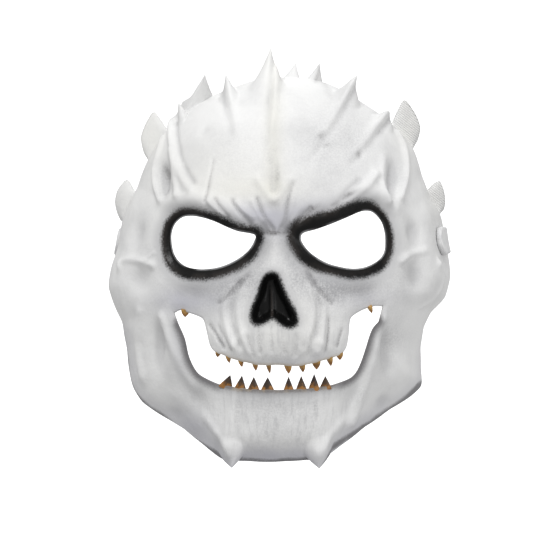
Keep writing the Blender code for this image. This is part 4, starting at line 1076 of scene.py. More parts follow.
def fin_reach(u, v):
    """Flat fins: the sheet is drawn out towards each crest."""
    reach = np.zeros(u.shape + (3,))
    angle = np.degrees(np.arctan2(v, u)) % 360.0
    turn = np.degrees(np.hypot(u, v) / SHEET_PER_RADIAN)
    for fin in FINS:
        share = (angle - fin.first) / (fin.last - fin.first)
        near = np.abs(turn - FIN_TURN) / FIN_HALF_TURN
        used = (share > 0.0) & (share < 1.0) & (near < 1.0)
        if not used.any():
            continue
        line = smooth_path(fin.crest, steps=5)
        along = distances_along(line)
        at = share[used] * along[-1]
        foot = layout(angle[used], FIN_TURN)
        start = base_place(foot[:, 0], foot[:, 1])
        crest_x, crest_z = (np.interp(at, along, line[:, k]) for k in (0, 1))
        end = np.column_stack([crest_x, start[:, 1], crest_z])
        ends = smooth_step(0.0, FIN_END, share[used]) * smooth_step(0.0, FIN_END, 1.0 - share[used])
        weight = ends * (1.0 - near[used]) ** FIN_SHARPNESS
        reach[used] += weight[:, None] * (end - start)
    return reach


def nose_relief(u, v):
    """The ridges on the floor of the nose hollow."""
    return stroke_heights(u, v, NOSE_STROKES, NOSE_PATHS)[0]


def fine_relief(u, v):
    """The folds, creases and spots that only the finished surface has."""
    ridges, grooves = stroke_heights(u, v, FINE_STROKES, FINE_PATHS)
    return dab_relief(u, v, FINE_DABS) + ridges + grooves + nose_relief(u, v)


def outer_place(u, v, lowered):
    """The outer face, lowered a little where its edges are rounded."""
    surface = surface_relief(u, v) + fine_relief(u, v)
    return raised(u, v, deep_relief(u, v, 0.0) + surface - lowered) + spike_reach(u, v) + fin_reach(u, v)


def inner_place(u, v, lifted):
    """The back of the wall: it follows the broad hollows, but not the spikes, fins and fine ridges."""
    broad = [dab for dab in DABS if dab.height < BROAD_HOLLOW]
    height = deep_relief(u, v, NOSE_WIDER) + dab_relief(u, v, broad) - WALL
    for tab, distance in tab_distances(u, v):
        height += tab_dent(tab, distance)
    return raised(u, v, height + lifted)


def honeycomb(step, reach):
    """Places on an even triangular grid."""
    row_step = step * math.sqrt(3.0) / 2.0
    rows = np.arange(-reach, reach, row_step)
    columns = np.arange(-reach, reach, step)
    u, v = np.meshgrid(columns, rows)
    u = u + (np.arange(len(rows)) % 2)[:, None] * step / 2.0
    return np.column_stack([u.ravel(), v.ravel()])


def moved_aside(loop, distance):
    """A closed loop moved sideways, outwards for a distance above 0."""
    ahead = np.roll(loop, -1, 0) - np.roll(loop, 1, 0)
    sideways = np.column_stack([ahead[:, 1], -ahead[:, 0]])
    sideways /= np.linalg.norm(sideways, axis=1, keepdims=True)
    turned = np.sum(loop[:, 0] * np.roll(loop[:, 1], -1) - np.roll(loop[:, 0], -1) * loop[:, 1])
    moved = loop + math.copysign(distance, distance * turned) * sideways
    gaps = np.abs(loop_depth(moved[:, 0], moved[:, 1], loop))
    return moved[gaps > RING_KEPT * abs(distance)]


def kept_apart(points, taken, distance):
    """The points that keep their distance from the places already taken."""
    tree = KDTree(len(taken))
    for index, (u, v) in enumerate(taken):
        tree.insert((u, v, 0.0), index)
    tree.balance()
    keep = [tree.find((u, v, 0.0))[2] > distance for u, v in points]
    return points[np.array(keep)]


def spike_rings():
    """A point on each tip, with rings round it down to the foot."""
    found = []
    for spike, foot in spike_feet():
        up, round_head = axes(foot)
        found.append(foot[None])
        for number in range(1, SPIKE_RINGS + 1):
            share = (number / SPIKE_RINGS) ** SPIKE_CROWDING
            count = max(SPIKE_LEAST_AROUND, round(SPIKE_AROUND * share * (spike.half_round + spike.half_up)))
            turned = np.arange(count) * 2.0 * math.pi / count
            across = share * spike.half_round * np.cos(turned)[:, None] * round_head
            found.append(foot + across + share * spike.half_up * np.sin(turned)[:, None] * up)
    return np.vstack(found)


def fin_rows():
    """Points along each crest and along both of its sides."""
    found = []
    for fin in FINS:
        arc = math.radians(abs(fin.last - fin.first)) * math.radians(FIN_TURN) * SHEET_PER_RADIAN
        for row in range(-FIN_ROWS, FIN_ROWS + 1):
            angles = np.linspace(fin.first, fin.last, round(arc / FIN_STEP))
            found.append(layout(angles, FIN_TURN + row / FIN_ROWS * FIN_HALF_TURN))
    return np.vstack(found)


def triangulated(loops, points):
    """Triangles over the sheet, within the first loop and outside the others."""
    rings = list(loops.values())
    sizes = [len(loop) for loop in rings]
    starts = np.concatenate([[0], np.cumsum(sizes)])
    places = np.vstack(rings + [points])
    edges = []
    for start, size in zip(starts, sizes):
        edges += [(start + k, start + (k + 1) % size) for k in range(size)]
    flat, _, faces, sources, _, _ = delaunay_2d_cdt(places.tolist(), edges, [], 0, 1e-5)
    flat = np.array([tuple(place) for place in flat])
    faces = np.array([face for face in faces if len(face) == 3])
    middles = flat[faces].mean(axis=1)
    keep = inside(middles[:, 0], middles[:, 1], rings[0])
    for loop in rings[1:]:
        keep &= ~inside(middles[:, 0], middles[:, 1], loop)
    faces = faces[keep]
    a, b, c = (flat[faces[:, k]] for k in range(3))
    turned = (b[:, 0] - a[:, 0]) * (c[:, 1] - a[:, 1]) - (b[:, 1] - a[:, 1]) * (c[:, 0] - a[:, 0])
    faces[turned < 0] = faces[turned < 0][:, ::-1]
    placed = {source: index for index, found in enumerate(sources) for source in found}
    loop_indices = [[placed[start + k] for k in range(size)] for start, size in zip(starts, sizes)]
    return flat, faces, dict(zip(loops, loop_indices))


def within_sheet(points, loops):
    keep = rim_gap(points[:, 0], points[:, 1]) > 0.0
    for name, loop in loops.items():
        if name != "rim":
            keep &= ~inside(points[:, 0], points[:, 1], loop)
    return points[keep]


def gum_line(edge, teeth, sag):
    """A gum line that dips a little at each tooth."""
    line = spaced(edge, EDGE_STEP)
    for tooth in teeth:
        line[:, 1] += sag * bell((line[:, 0] - tooth.root_x) / (GUM_DIP_SHARE * tooth.root_width))
    return line


def openings():
    """The closed loops on the sheet: two eyes and the mouth."""
    upper, lower = mouth_edges()
    upper = gum_line(upper, UPPER_TEETH, UPPER_GUM_SAG)
    lower = gum_line(lower, LOWER_TEETH, LOWER_GUM_SAG)
    return {
        "eye_left": spaced(on_sheet(smooth_path(EYE_LEFT, closed=True)), EDGE_STEP, closed=True),
        "eye_right": spaced(on_sheet(smooth_path(EYE_RIGHT, closed=True)), EDGE_STEP, closed=True),
        "mouth": on_sheet(np.vstack([upper, lower[::-1]])),
    }


OPENINGS = openings()


def opening_gap(u, v):
    """Distance from each place on the sheet to the nearest opening's edge, as far as its rounding goes."""
    gaps = []
    for loop in OPENINGS.values():
        closed = np.vstack([loop, loop[:1]])
        distance, _ = path_distance(u, v, closed, 2.0 * OUTER_EDGE_ROUND)
        gaps.append(np.where(inside(u, v, loop), 0.0, distance))
    return np.min(gaps, axis=0)


def rim_reach(angle):
    """How far from the middle of the layout the rim lies in a direction."""
    return np.radians(ring("lean", angle) + ring("skirt", angle)) * SHEET_PER_RADIAN


def rim_gap(u, v):
    angle = np.degrees(np.arctan2(v, u))
    return np.maximum(rim_reach(angle) - np.hypot(u, v), 0.0)


def edge_fall(gap, radius):
    """How much a rounded edge has dropped at a distance from it."""
    within = np.clip(radius - gap, 0.0, radius)
    return radius - np.sqrt(radius**2 - within**2)


def edges_and_rings(names_and_loops):
    found = []
    for name, loop in names_and_loops.items():
        side = -1.0 if name == "rim" else 1.0
        found += [moved_aside(loop, side * distance) for distance in EDGE_RINGS]
    return np.vstack(found)


def shell_sheets():
    """The outer and inner faces of the wall as layout places and triangles."""
    loops = {"rim": rim_loop(RIM_STEP), **OPENINGS}
    edges = np.vstack(list(loops.values()))
    rings = kept_apart(edges_and_rings(loops), edges, RING_APART)
    borders = np.vstack([edges, rings])
    special = kept_apart(np.vstack([spike_rings(), fin_rows()]), borders, SPIKE_APART)
    taken = np.vstack([borders, special])
    fine = honeycomb(FACE_STEP, FACE_HALF_UP)
    fine = fine[np.hypot(fine[:, 0] / FACE_HALF_ACROSS, fine[:, 1] / FACE_HALF_UP) < 1.0]
    coarse = honeycomb(SIDE_STEP, SHEET_REACH)
    across, up = FACE_HALF_ACROSS + GRIDS_GAP, FACE_HALF_UP + GRIDS_GAP
    coarse = coarse[np.hypot(coarse[:, 0] / across, coarse[:, 1] / up) > 1.0]
    points = [special]
    for grid, step in ((fine, FACE_STEP), (coarse, SIDE_STEP)):
        points.append(kept_apart(within_sheet(grid, loops), taken, GRID_APART * step))
    outer = triangulated(loops, np.vstack([rings, within_sheet(np.vstack(points), loops)]))
    back = within_sheet(honeycomb(BACK_STEP, SHEET_REACH), loops)
    back = kept_apart(back, borders, BACK_APART * BACK_STEP)
    inner = triangulated(loops, np.vstack([rings, back]))
    return outer, inner


def new_piece(name, points, faces, smooth=True):
    """A mesh object at the origin from places in millimetres."""
    mesh = bpy.data.meshes.new(name)
    mesh.from_pydata((np.asarray(points) * MM).tolist(), [], faces)
    mesh.validate()
    if smooth:
        mesh.shade_smooth()
    piece = bpy.data.objects.new(name, mesh)
    bpy.context.scene.collection.objects.link(piece)
    return piece


def turn_outwards(piece):
    """Turns the faces of a closed piece so that they point outwards."""
    editing = bmesh.new()
    editing.from_mesh(piece.data)
    bmesh.ops.recalc_face_normals(editing, faces=editing.faces)
    editing.to_mesh(piece.data)
    editing.free()


def store(piece, name, values):
    """Keeps a number at each vertex, for the material to read."""
    attribute = piece.data.attributes.new(name, "FLOAT", "POINT")
    attribute.data.foreach_set("value", np.asarray(values, np.float32))


def clouds(x, z, table):
    """Soft oval patches in the front view, added up."""
    total = np.zeros(x.shape)
    for cloud in table:
        across, along = turned_offset(x, z, (cloud.x, cloud.z), cloud.tilt)
        total += cloud.strength * bell(across / cloud.half_x) * bell(along / cloud.half_z)
    return total


def smoothed(values, edges, rounds):
    """Values averaged with their neighbours' along the mesh, a number of rounds."""
    count = np.bincount(edges.ravel(), minlength=len(values)).astype(float)
    for _ in range(rounds):
        total = np.bincount(edges[:, 0], values[edges[:, 1]], len(values))
        total += np.bincount(edges[:, 1], values[edges[:, 0]], len(values))
        values = 0.5 * values + 0.5 * total / np.maximum(count, 1.0)
    return values


def mesh_edges(faces):
    edges = np.sort(np.vstack([faces[:, [0, 1]], faces[:, [1, 2]], faces[:, [2, 0]]]), axis=1)
    count = edges.max() + 1
    keys = np.unique(edges[:, 0] * count + edges[:, 1])
    return np.column_stack([keys // count, keys % count])


def eye_band(u, v):
    """How far each place lies beyond the black band round the nearest eye, below 0 on the band."""
    beyond = []
    for name, table in (("eye_left", BAND_LEFT), ("eye_right", BAND_RIGHT)):
        gap = -loop_depth(u, v, OPENINGS[name])
        middle = OPENINGS[name].mean(axis=0)
        direction = np.degrees(np.arctan2(v - middle[1], u - middle[0]))
        columns = np.array(table)
        beyond.append(gap - np.interp(direction, columns[:, 0], columns[:, 1], period=360))
    return np.min(beyond, axis=0)


def make_shell():
    outer, inner = shell_sheets()
    flat, faces, loops = outer
    inner_flat, inner_faces, inner_loops = inner
    u, v = flat[:, 0], flat[:, 1]
    gap = np.minimum(opening_gap(u, v), rim_gap(u, v))
    points = outer_place(u, v, edge_fall(gap, OUTER_EDGE_ROUND))
    inner_u, inner_v = inner_flat[:, 0], inner_flat[:, 1]
    inner_gap = np.minimum(opening_gap(inner_u, inner_v), rim_gap(inner_u, inner_v))
    inner_points = inner_place(inner_u, inner_v, edge_fall(inner_gap, INNER_EDGE_ROUND))
    offset = len(points)
    walls = []
    for name in loops:
        front, back = loops[name], inner_loops[name]
        for k in range(len(front)):
            following = (k + 1) % len(front)
            walls.append((front[k], back[k] + offset, back[following] + offset, front[following]))
    all_faces = faces.tolist() + (inner_faces[:, ::-1] + offset).tolist() + walls
    piece = new_piece("mask_shell_painted", np.vstack([points, inner_points]), all_faces)
    turn_outwards(piece)
    paint_shell(piece, flat, faces, inner_flat)
    piece.data.materials.append(painted_latex())
    piece.data.materials.append(raw_latex())
    slots = np.zeros(len(all_faces), np.int32)
    slots[len(faces) : len(faces) + len(inner_faces)] = 1
    piece.data.polygons.foreach_set("material_index", slots)
    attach(piece, "root")
    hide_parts("mask_shell")


def crease_depth(u, v):
    """How deep each place lies in the grooves and creases that are darkened with painted shade."""
    broad = stroke_heights(u, v, STROKES, STROKE_PATHS)[1]
    fine = stroke_heights(u, v, FINE_STROKES, FINE_PATHS)[1]
    return -BROAD_CREASE_SHARE * broad - fine


def paint_shell(piece, flat, faces, inner_flat):
    """Stores what the finish reads at each vertex: places on the outer face first, then the inner ones."""
    u, v = flat[:, 0], flat[:, 1]
    inner_u, inner_v = inner_flat[:, 0], inner_flat[:, 1]
    base = base_place(u, v)
    x, z = base[:, 0], base[:, 2]
    height = surface_relief(u, v) + fine_relief(u, v)
    edges = mesh_edges(faces)
    hollow = smoothed(height, edges, HOLLOW_ROUNDS) - smoothed(height, edges, PLACE_ROUNDS)
    ribbed = np.where(x > 0.0, np.linalg.norm(fin_reach(u, v), axis=1) / FIN_LINES_FULL, 0.0)
    on_front = (
        ("hollow", hollow, 0.0),
        ("crease", crease_depth(u, v), 0.0),
        ("airbrush", clouds(x, z, AIRBRUSH_AND_SHADE), 0.0),
        ("lavender", clouds(x, z, LAVENDER_AND_SHADE), 0.0),
        ("ivory", clouds(x, z, IVORY), 0.0),
        ("fibres", clouds(x, z, FIBRES), 0.0),
        ("touches", clouds(x, z, SHADOW_TOUCHES), 0.0),
        ("nose_ridge", nose_relief(u, v), 0.0),
        ("nose_depth", loop_depth(u, v, NOSE_LOOP), OUTSIDE_NOSE),
        ("jaw_line", path_distance(x, z, np.array(JAW_LINE))[0], RELIEF_REACH),
        ("cut_gap", opening_gap(u, v), 0.0),
        ("ribs", np.minimum(ribbed, 1.0), 0.0),
    )
    for name, values, at_back in on_front:
        store(piece, name, np.concatenate([values, np.full(len(inner_u), at_back)]))
    both_u, both_v = np.concatenate([u, inner_u]), np.concatenate([v, inner_v])
    store(piece, "eye_band", eye_band(both_u, both_v))
    for name, edge in zip(("upper_gum", "lower_gum"), mouth_edges()):
        line = on_sheet(spaced(edge, GUM_STEP))
        store(piece, name, path_distance(both_u, both_v, line)[0])


class Nodes:
    """A node tree, with a short call that adds a node and fills or links its inputs."""

    def __init__(self, tree):
        self.tree = tree

    def link(self, value, socket):
        if isinstance(value, bpy.types.NodeSocket):
            self.tree.links.new(value, socket)
        elif isinstance(value, tuple):
            socket.default_value = (*value, 1.0) if len(socket.default_value) == 4 else value
        else:
            socket.default_value = value

    def node(self, kind, inputs=(), **settings):
        made = self.tree.nodes.new(kind)
        for name, value in settings.items():
            setattr(made, name, value)
        for socket, value in inputs:
            self.link(value, made.inputs[socket])
        return made

    def math(self, operation, first, second=0.0, clamp=False):
        inputs = [(0, first), (1, second)]
        return self.node("ShaderNodeMath", inputs, operation=operation, use_clamp=clamp).outputs[0]

    def times(self, first, second, clamp=False):
        return self.math("MULTIPLY", first, second, clamp)

    def plus(self, first, second):
        return self.math("ADD", first, second)


class Shader(Nodes):
    """A material's node tree, with a short call for each kind of node that the finishes use."""

    def __init__(self, name):
        self.material = bpy.data.materials.new(name)
        self.material.use_nodes = True
        super().__init__(self.material.node_tree)
        self.surface = self.tree.nodes["Principled BSDF"]

    def attribute(self, name):
        return self.node("ShaderNodeAttribute", attribute_name=name).outputs["Fac"]

    def place(self, stretched=(1.0, 1.0, 1.0)):
        """Object coordinates, stretched along X, Y and Z."""
        coordinates = self.node("ShaderNodeTexCoord").outputs["Object"]
        inputs = [("Vector", coordinates), ("Scale", stretched)]
        return self.node("ShaderNodeMapping", inputs).outputs["Vector"]

    def noise(self, scale, detail=3.0, roughness=0.5, stretched=(1.0, 1.0, 1.0)):
        """A noise from 0 to 1: the larger its scale, the finer its grain."""
        inputs = [
            ("Vector", self.place(stretched)), ("Scale", scale), ("Detail", detail), ("Roughness", roughness),
        ]
        return self.node("ShaderNodeTexNoise", inputs).outputs["Fac"]

    def wobble(self, noise, amount):
        """A noise moved so that it lies on both sides of 0, times an amount."""
        return self.times(self.math("SUBTRACT", noise, 0.5), amount)

    def ramp(self, value, low, high, at_low=0.0, at_high=1.0):
        """A smooth change from one value to another as the input passes from low to high."""
        inputs = [
            ("Value", value), ("From Min", low), ("From Max", high), ("To Min", at_low), ("To Max", at_high),
        ]
        return self.node("ShaderNodeMapRange", inputs, interpolation_type="SMOOTHSTEP").outputs["Result"]

    def mix(self, share, first, second):
        """A colour between two others."""
        inputs = [(0, share), (6, first), (7, second)]
        return self.node("ShaderNodeMix", inputs, data_type="RGBA").outputs[2]

    def bump(self, height, distance, strength=1.0, below=None):
        inputs = [("Height", height), ("Distance", distance), ("Strength", strength)]
        if below is not None:
            inputs.append(("Normal", below))
        return self.node("ShaderNodeBump", inputs).outputs["Normal"]

    def finish(self, colour, roughness, normal):
        """Gives the surface what every finish has, and hands back the material."""
        self.link(colour, self.surface.inputs["Base Color"])
        self.link(roughness, self.surface.inputs["Roughness"])
        self.link(normal, self.surface.inputs["Normal"])
        return self.material


def painted_latex():
    """The shell's finish, coat by coat, painted shade and highlights among the coats, with its bumps."""
    shader = Shader("painted_foam_latex")
    mottle = shader.noise(38.0, 4.0, 0.55)
    speckle = shader.noise(900.0, 2.0, 0.7)
    fibre = shader.noise(420.0, 3.0, 0.6, (1.0, 1.0, 0.07))
    fibres = shader.attribute("fibres")
    lines = fin_lines(shader)
    colour = white_coat_and_shade(shader, mottle, speckle)
    colour = shader.mix(shader.times(lines, FIN_LINES_SHADE), colour, GREY)
    drawn = shader.times(fibres, shader.ramp(fibre, 0.45, 0.72, 0.0, FIBRE_SHADE))
    colour = shader.mix(drawn, colour, GREY)
    colour = jaw_shade(shader, colour, mottle, speckle)
    # Painted shadow: dark spots in the deepest hollows and creases
    shadowed = shader.times(shader.attribute("touches"), shader.ramp(speckle, 0.3, 0.7, 0.7, 1.3))
    colour = shader.mix(shadowed, colour, BROWN_BLACK)
    colour = gum_stain_and_shade(shader, colour, speckle)
    colour, in_nose = black_nose(shader, colour, speckle)
    colour, on_band = black_eyes(shader, colour, mottle, speckle)
    black = shader.math("MAXIMUM", in_nose, on_band)
    roughness = shader.ramp(black, 0.0, 1.0, PAINT_ROUGHNESS, BLACK_ROUGHNESS)
    shader.surface.inputs["Specular IOR Level"].default_value = PAINT_SPECULAR
    pores = shader.bump(shader.noise(620.0, 3.0, 0.6), 0.00016, 0.6)
    drawn_out = shader.bump(shader.times(fibre, fibres), 0.0009, 0.5, pores)
    ribbed = shader.bump(lines, 0.0004, 0.8, drawn_out)
    strokes = shader.bump(shader.noise(62.0, 5.0, 0.55), 0.002, 0.5, ribbed)
    return shader.finish(colour, roughness, strokes)


def white_coat_and_shade(shader, mottle, speckle):
    """White base coat and its clouds, some of them painted shade, with painted shade in the hollows and
    creases.
    """
    colour = shader.mix(shader.attribute("ivory"), WHITE, IVORY_WHITE)
    uneven = shader.ramp(mottle, 0.25, 0.75, 0.7, 1.3)
    grainy = shader.times(uneven, shader.ramp(speckle, 0.25, 0.75, 0.6, 1.4))
    # Grey and bluish grey clouds: partly airbrushed paint, partly painted shade
    airbrush = shader.times(shader.attribute("airbrush"), grainy, clamp=True)
    colour = shader.mix(airbrush, colour, GREY)
    lavender = shader.times(shader.attribute("lavender"), uneven, clamp=True)
    colour = shader.mix(lavender, colour, LAVENDER_GREY)
    # Painted shade: grey in the hollows of the relief, darker grey in its creases
    hollow = shader.ramp(shader.times(shader.attribute("hollow"), uneven), 0.1, 1.5, 0.0, HOLLOW_SHADE)
    colour = shader.mix(hollow, colour, GREY)
    crease = shader.ramp(shader.times(shader.attribute("crease"), grainy), 0.2, 1.7, 0.0, CREASE_SHADE)
    colour = shader.mix(crease, colour, CREASE_GREY)
    blotch = shader.ramp(shader.noise(24.0, 5.0, 0.6), 0.42, 0.75, 0.0, BLOTCH_SHADE)
    return shader.mix(blotch, colour, GREY)


def fin_lines(shader):
    """The slanted lines on the fins of the +X side, 0 between them and 1 on them."""
    x, _, z = shader.node("ShaderNodeSeparateXYZ", [(0, shader.place())]).outputs
    slanted = shader.plus(shader.times(x, FIN_LINES_SLANT), z)
    wave = shader.math("SINE", shader.times(slanted, FIN_LINES_WAVE))
    return shader.times(shader.ramp(wave, -0.6, 0.8), shader.attribute("ribs"))


def jaw_shade(shader, colour, mottle, speckle):
    """Painted shade along the lower edge of the jaw: a dark line, with bluish grey above it."""
    away = shader.plus(shader.attribute("jaw_line"), shader.wobble(speckle, 1.6))
    away = shader.plus(away, shader.wobble(mottle, 5.0))
    shade = shader.ramp(away, 0.0, JAW_SHADE_REACH, JAW_SHADE, 0.0)
    colour = shader.mix(shade, colour, LAVENDER_GREY)
    line = shader.ramp(away, 0.4, 2.8, JAW_LINE_SHADE, 0.0)
    return shader.mix(line, colour, CREASE_GREY)


def gum_stain_and_shade(shader, colour, speckle):
    """Brown and ochre stain along the gum lines, and airbrushed grey with painted shade along the mouth's
    lower edge.
    """
    grain = shader.wobble(speckle, 2.2)
    across = shader.node("ShaderNodeSeparateXYZ", [(0, shader.place())]).outputs[0]
    front = shader.ramp(shader.math("ABSOLUTE", across), *FRONT_OF_GRIN, 1.0, 0.0)
    lower = shader.plus(shader.attribute("lower_gum"), grain)
    dark = shader.times(shader.ramp(lower, 0.4, 2.6, GUM_STAIN, 0.0), front)
    blotches = shader.ramp(shader.noise(150.0, 2.0), 0.48, 0.62)
    colour = shader.mix(dark, colour, shader.mix(blotches, STAIN_BROWN, STAIN_OCHRE))
    # Painted shade with airbrushed grey: grey below the lower gum line, darker at the edge, and a dark strip
    # beside the limbs
    shade = shader.ramp(lower, 0.0, GUM_SHADE_REACH, GUM_SHADE, 0.0)
    colour = shader.mix(shade, colour, GREY)
    edge = shader.ramp(lower, 0.0, GUM_EDGE_REACH, GUM_EDGE_SHADE, 0.0)
    colour = shader.mix(edge, colour, CREASE_GREY)
    limbs = shader.math("SUBTRACT", 1.0, front)
    strip = shader.times(shader.ramp(lower, 0.3, LIMB_STRIP_REACH, LIMB_STRIP_SHADE, 0.0), limbs)
    colour = shader.mix(strip, colour, CREASE_GREY)
    upper = shader.plus(shader.attribute("upper_gum"), grain)
    touch = shader.times(shader.ramp(upper, 0.0, 2.0, UPPER_GUM_TOUCH, 0.0), front)
    return shader.mix(touch, colour, STAIN_OCHRE)


def black_nose(shader, colour, speckle):
    """Black in the nose hollow, with a painted highlight on its ridges and a grey fade round it, and where
    the black lies.
    """
    beyond = shader.times(shader.attribute("nose_depth"), -1.0)
    blurred = shader.plus(beyond, shader.wobble(speckle, 3.0))
    in_nose = shader.ramp(blurred, -0.4, 2.0, 1.0, 0.0)
    nose_fade = shader.ramp(blurred, 0.5, NOSE_FADE_REACH, NOSE_FADE_SHADE, 0.0)
    colour = shader.mix(nose_fade, colour, GREY)
    # Painted highlight: the ridges on the floor of the nose hollow are lighter
    ridge_highlight = shader.ramp(shader.attribute("nose_ridge"), 0.8, 1.8)
    return shader.mix(in_nose, colour, shader.mix(ridge_highlight, BLACK, BROWN_AND_HIGHLIGHT_BLACK)), in_nose


def black_eyes(shader, colour, mottle, speckle):
    """The ragged black band round each eye, with a painted highlight in grey along the cut edge, its halo,
    and where it lies.
    """
    eye = shader.attribute("eye_band")
    ragged = shader.plus(shader.plus(eye, shader.wobble(speckle, 5.0)), shader.wobble(mottle, 5.5))
    halo = shader.ramp(ragged, -1.0, HALO_REACH, HALO_SHADE, 0.0)
    colour = shader.mix(halo, colour, GREY)
    on_band = shader.ramp(ragged, -2.2, 2.2, 1.0, 0.0)
    brown = shader.times(shader.ramp(mottle, 0.45, 0.62), shader.ramp(eye, -7.0, -1.0))
    band_colour = shader.mix(brown, BLACK, BROWN_AND_HIGHLIGHT_BLACK)
    # Painted highlight: a thin grey line where the cut edge catches the light
    at_cut = shader.ramp(shader.attribute("cut_gap"), 0.3, 1.5, CUT_EDGE_HIGHLIGHT, 0.0)
    cut_highlight = shader.times(at_cut, shader.ramp(mottle, 0.42, 0.6))
    band_colour = shader.mix(cut_highlight, band_colour, GREY)
    return shader.mix(on_band, colour, band_colour), on_band


def raw_latex():
    """The unpainted back of the wall, with black overspray at the eyes."""
    shader = Shader("raw_foam_latex")
    mottle = shader.noise(45.0, 4.0, 0.6)
    colour = shader.mix(shader.ramp(mottle, 0.3, 0.7), RAW_LATEX, WHITE)
    overspray = shader.ramp(shader.attribute("eye_band"), -5.0, 3.0, OVERSPRAY_SHADE, 0.0)
    colour = shader.mix(overspray, colour, BROWN_BLACK)
    cells = shader.bump(shader.noise(420.0, 4.0, 0.65), 0.0003, 0.6)
    return shader.finish(colour, RAW_ROUGHNESS, shader.bump(mottle, 0.0012, 0.4, cells))


def tooth_paint(name, root_colour, tip_colour):
    """Stained teeth: one colour at the root, another at the tip, blotched between."""
    shader = Shader(name)
    blotch = shader.noise(420.0, 3.0, 0.6)
    shifted = shader.plus(shader.attribute("root_to_tip"), shader.wobble(blotch, 1.1))
    colour = shader.mix(shader.ramp(shifted, 0.12, 0.6), root_colour, tip_colour)
    tint = shader.times(shader.attribute("tint"), shader.ramp(blotch, 0.4, 0.6, 0.1, 0.6))
    colour = shader.mix(tint, colour, STAIN_BROWN)
    return shader.finish(colour, TOOTH_ROUGHNESS, shader.bump(blotch, 0.0003, 0.5))


def woven_elastic():
    """White knitted elastic: fine threads across the lengthwise ribs."""
    shader = Shader("white_elastic")
    weave = shader.node("ShaderNodeUVMap", uv_map="weave").outputs["UV"]
    rows = shader.node(
        "ShaderNodeTexWave",
        [("Vector", weave), ("Scale", 330.0), ("Distortion", 1.2), ("Detail", 2.0), ("Detail Scale", 2.0)],
        wave_type="BANDS",
        bands_direction="X",
    ).outputs["Fac"]
    fuzz = shader.noise(1500.0, 2.0)
    threaded = shader.mix(shader.ramp(rows, 0.1, 0.6), ELASTIC_SHADE, ELASTIC_WHITE)
    colour = shader.mix(shader.ramp(shader.noise(90.0), 0.4, 0.7, 0.0, 0.25), threaded, IVORY_WHITE)
    shader.surface.inputs["Sheen Weight"].default_value = ELASTIC_SHEEN
    threads = shader.bump(rows, 0.00018, 0.9)
    return shader.finish(colour, ELASTIC_ROUGHNESS, shader.bump(fuzz, 0.00006, 0.5, threads))


def patch_latex():
    """The glued patches, in the same white as the shell, with painted shade in grey along the rounded edge.
    """
    shader = Shader("glued_patch")
    mottle = shader.noise(120.0, 3.0, 0.6)
    colour = shader.mix(shader.ramp(mottle, 0.3, 0.7, 0.0, 0.35), WHITE, LAVENDER_GREY)
    # Painted shade: grey along the patch's rounded edge
    edge = shader.ramp(shader.attribute("patch_edge"), 0.0, 1.4, 0.3, 0.0)
    colour = shader.mix(edge, colour, GREY)
    pores = shader.bump(shader.noise(700.0, 3.0, 0.6), 0.0002, 0.6)
    return shader.finish(colour, PATCH_ROUGHNESS, pores)


def tooth_places(teeth, edge):
    """Root and tip of each tooth in the middle of the wall, from the gum line and the table."""
    edge = spaced(edge, 1.0)
    roots, tips = [], []
    for tooth in teeth:
        roots.append((tooth.root_x, np.interp(tooth.root_x, edge[:, 0], edge[:, 1])))
        tips.append((tooth.tip_x, tooth.tip_z))
    middles = []
    for place in (on_sheet(roots), on_sheet(tips)):
        u, v = place[:, 0], place[:, 1]
        middles.append(raised(u, v, deep_relief(u, v, 0.0) - 0.5 * WALL))
    return middles


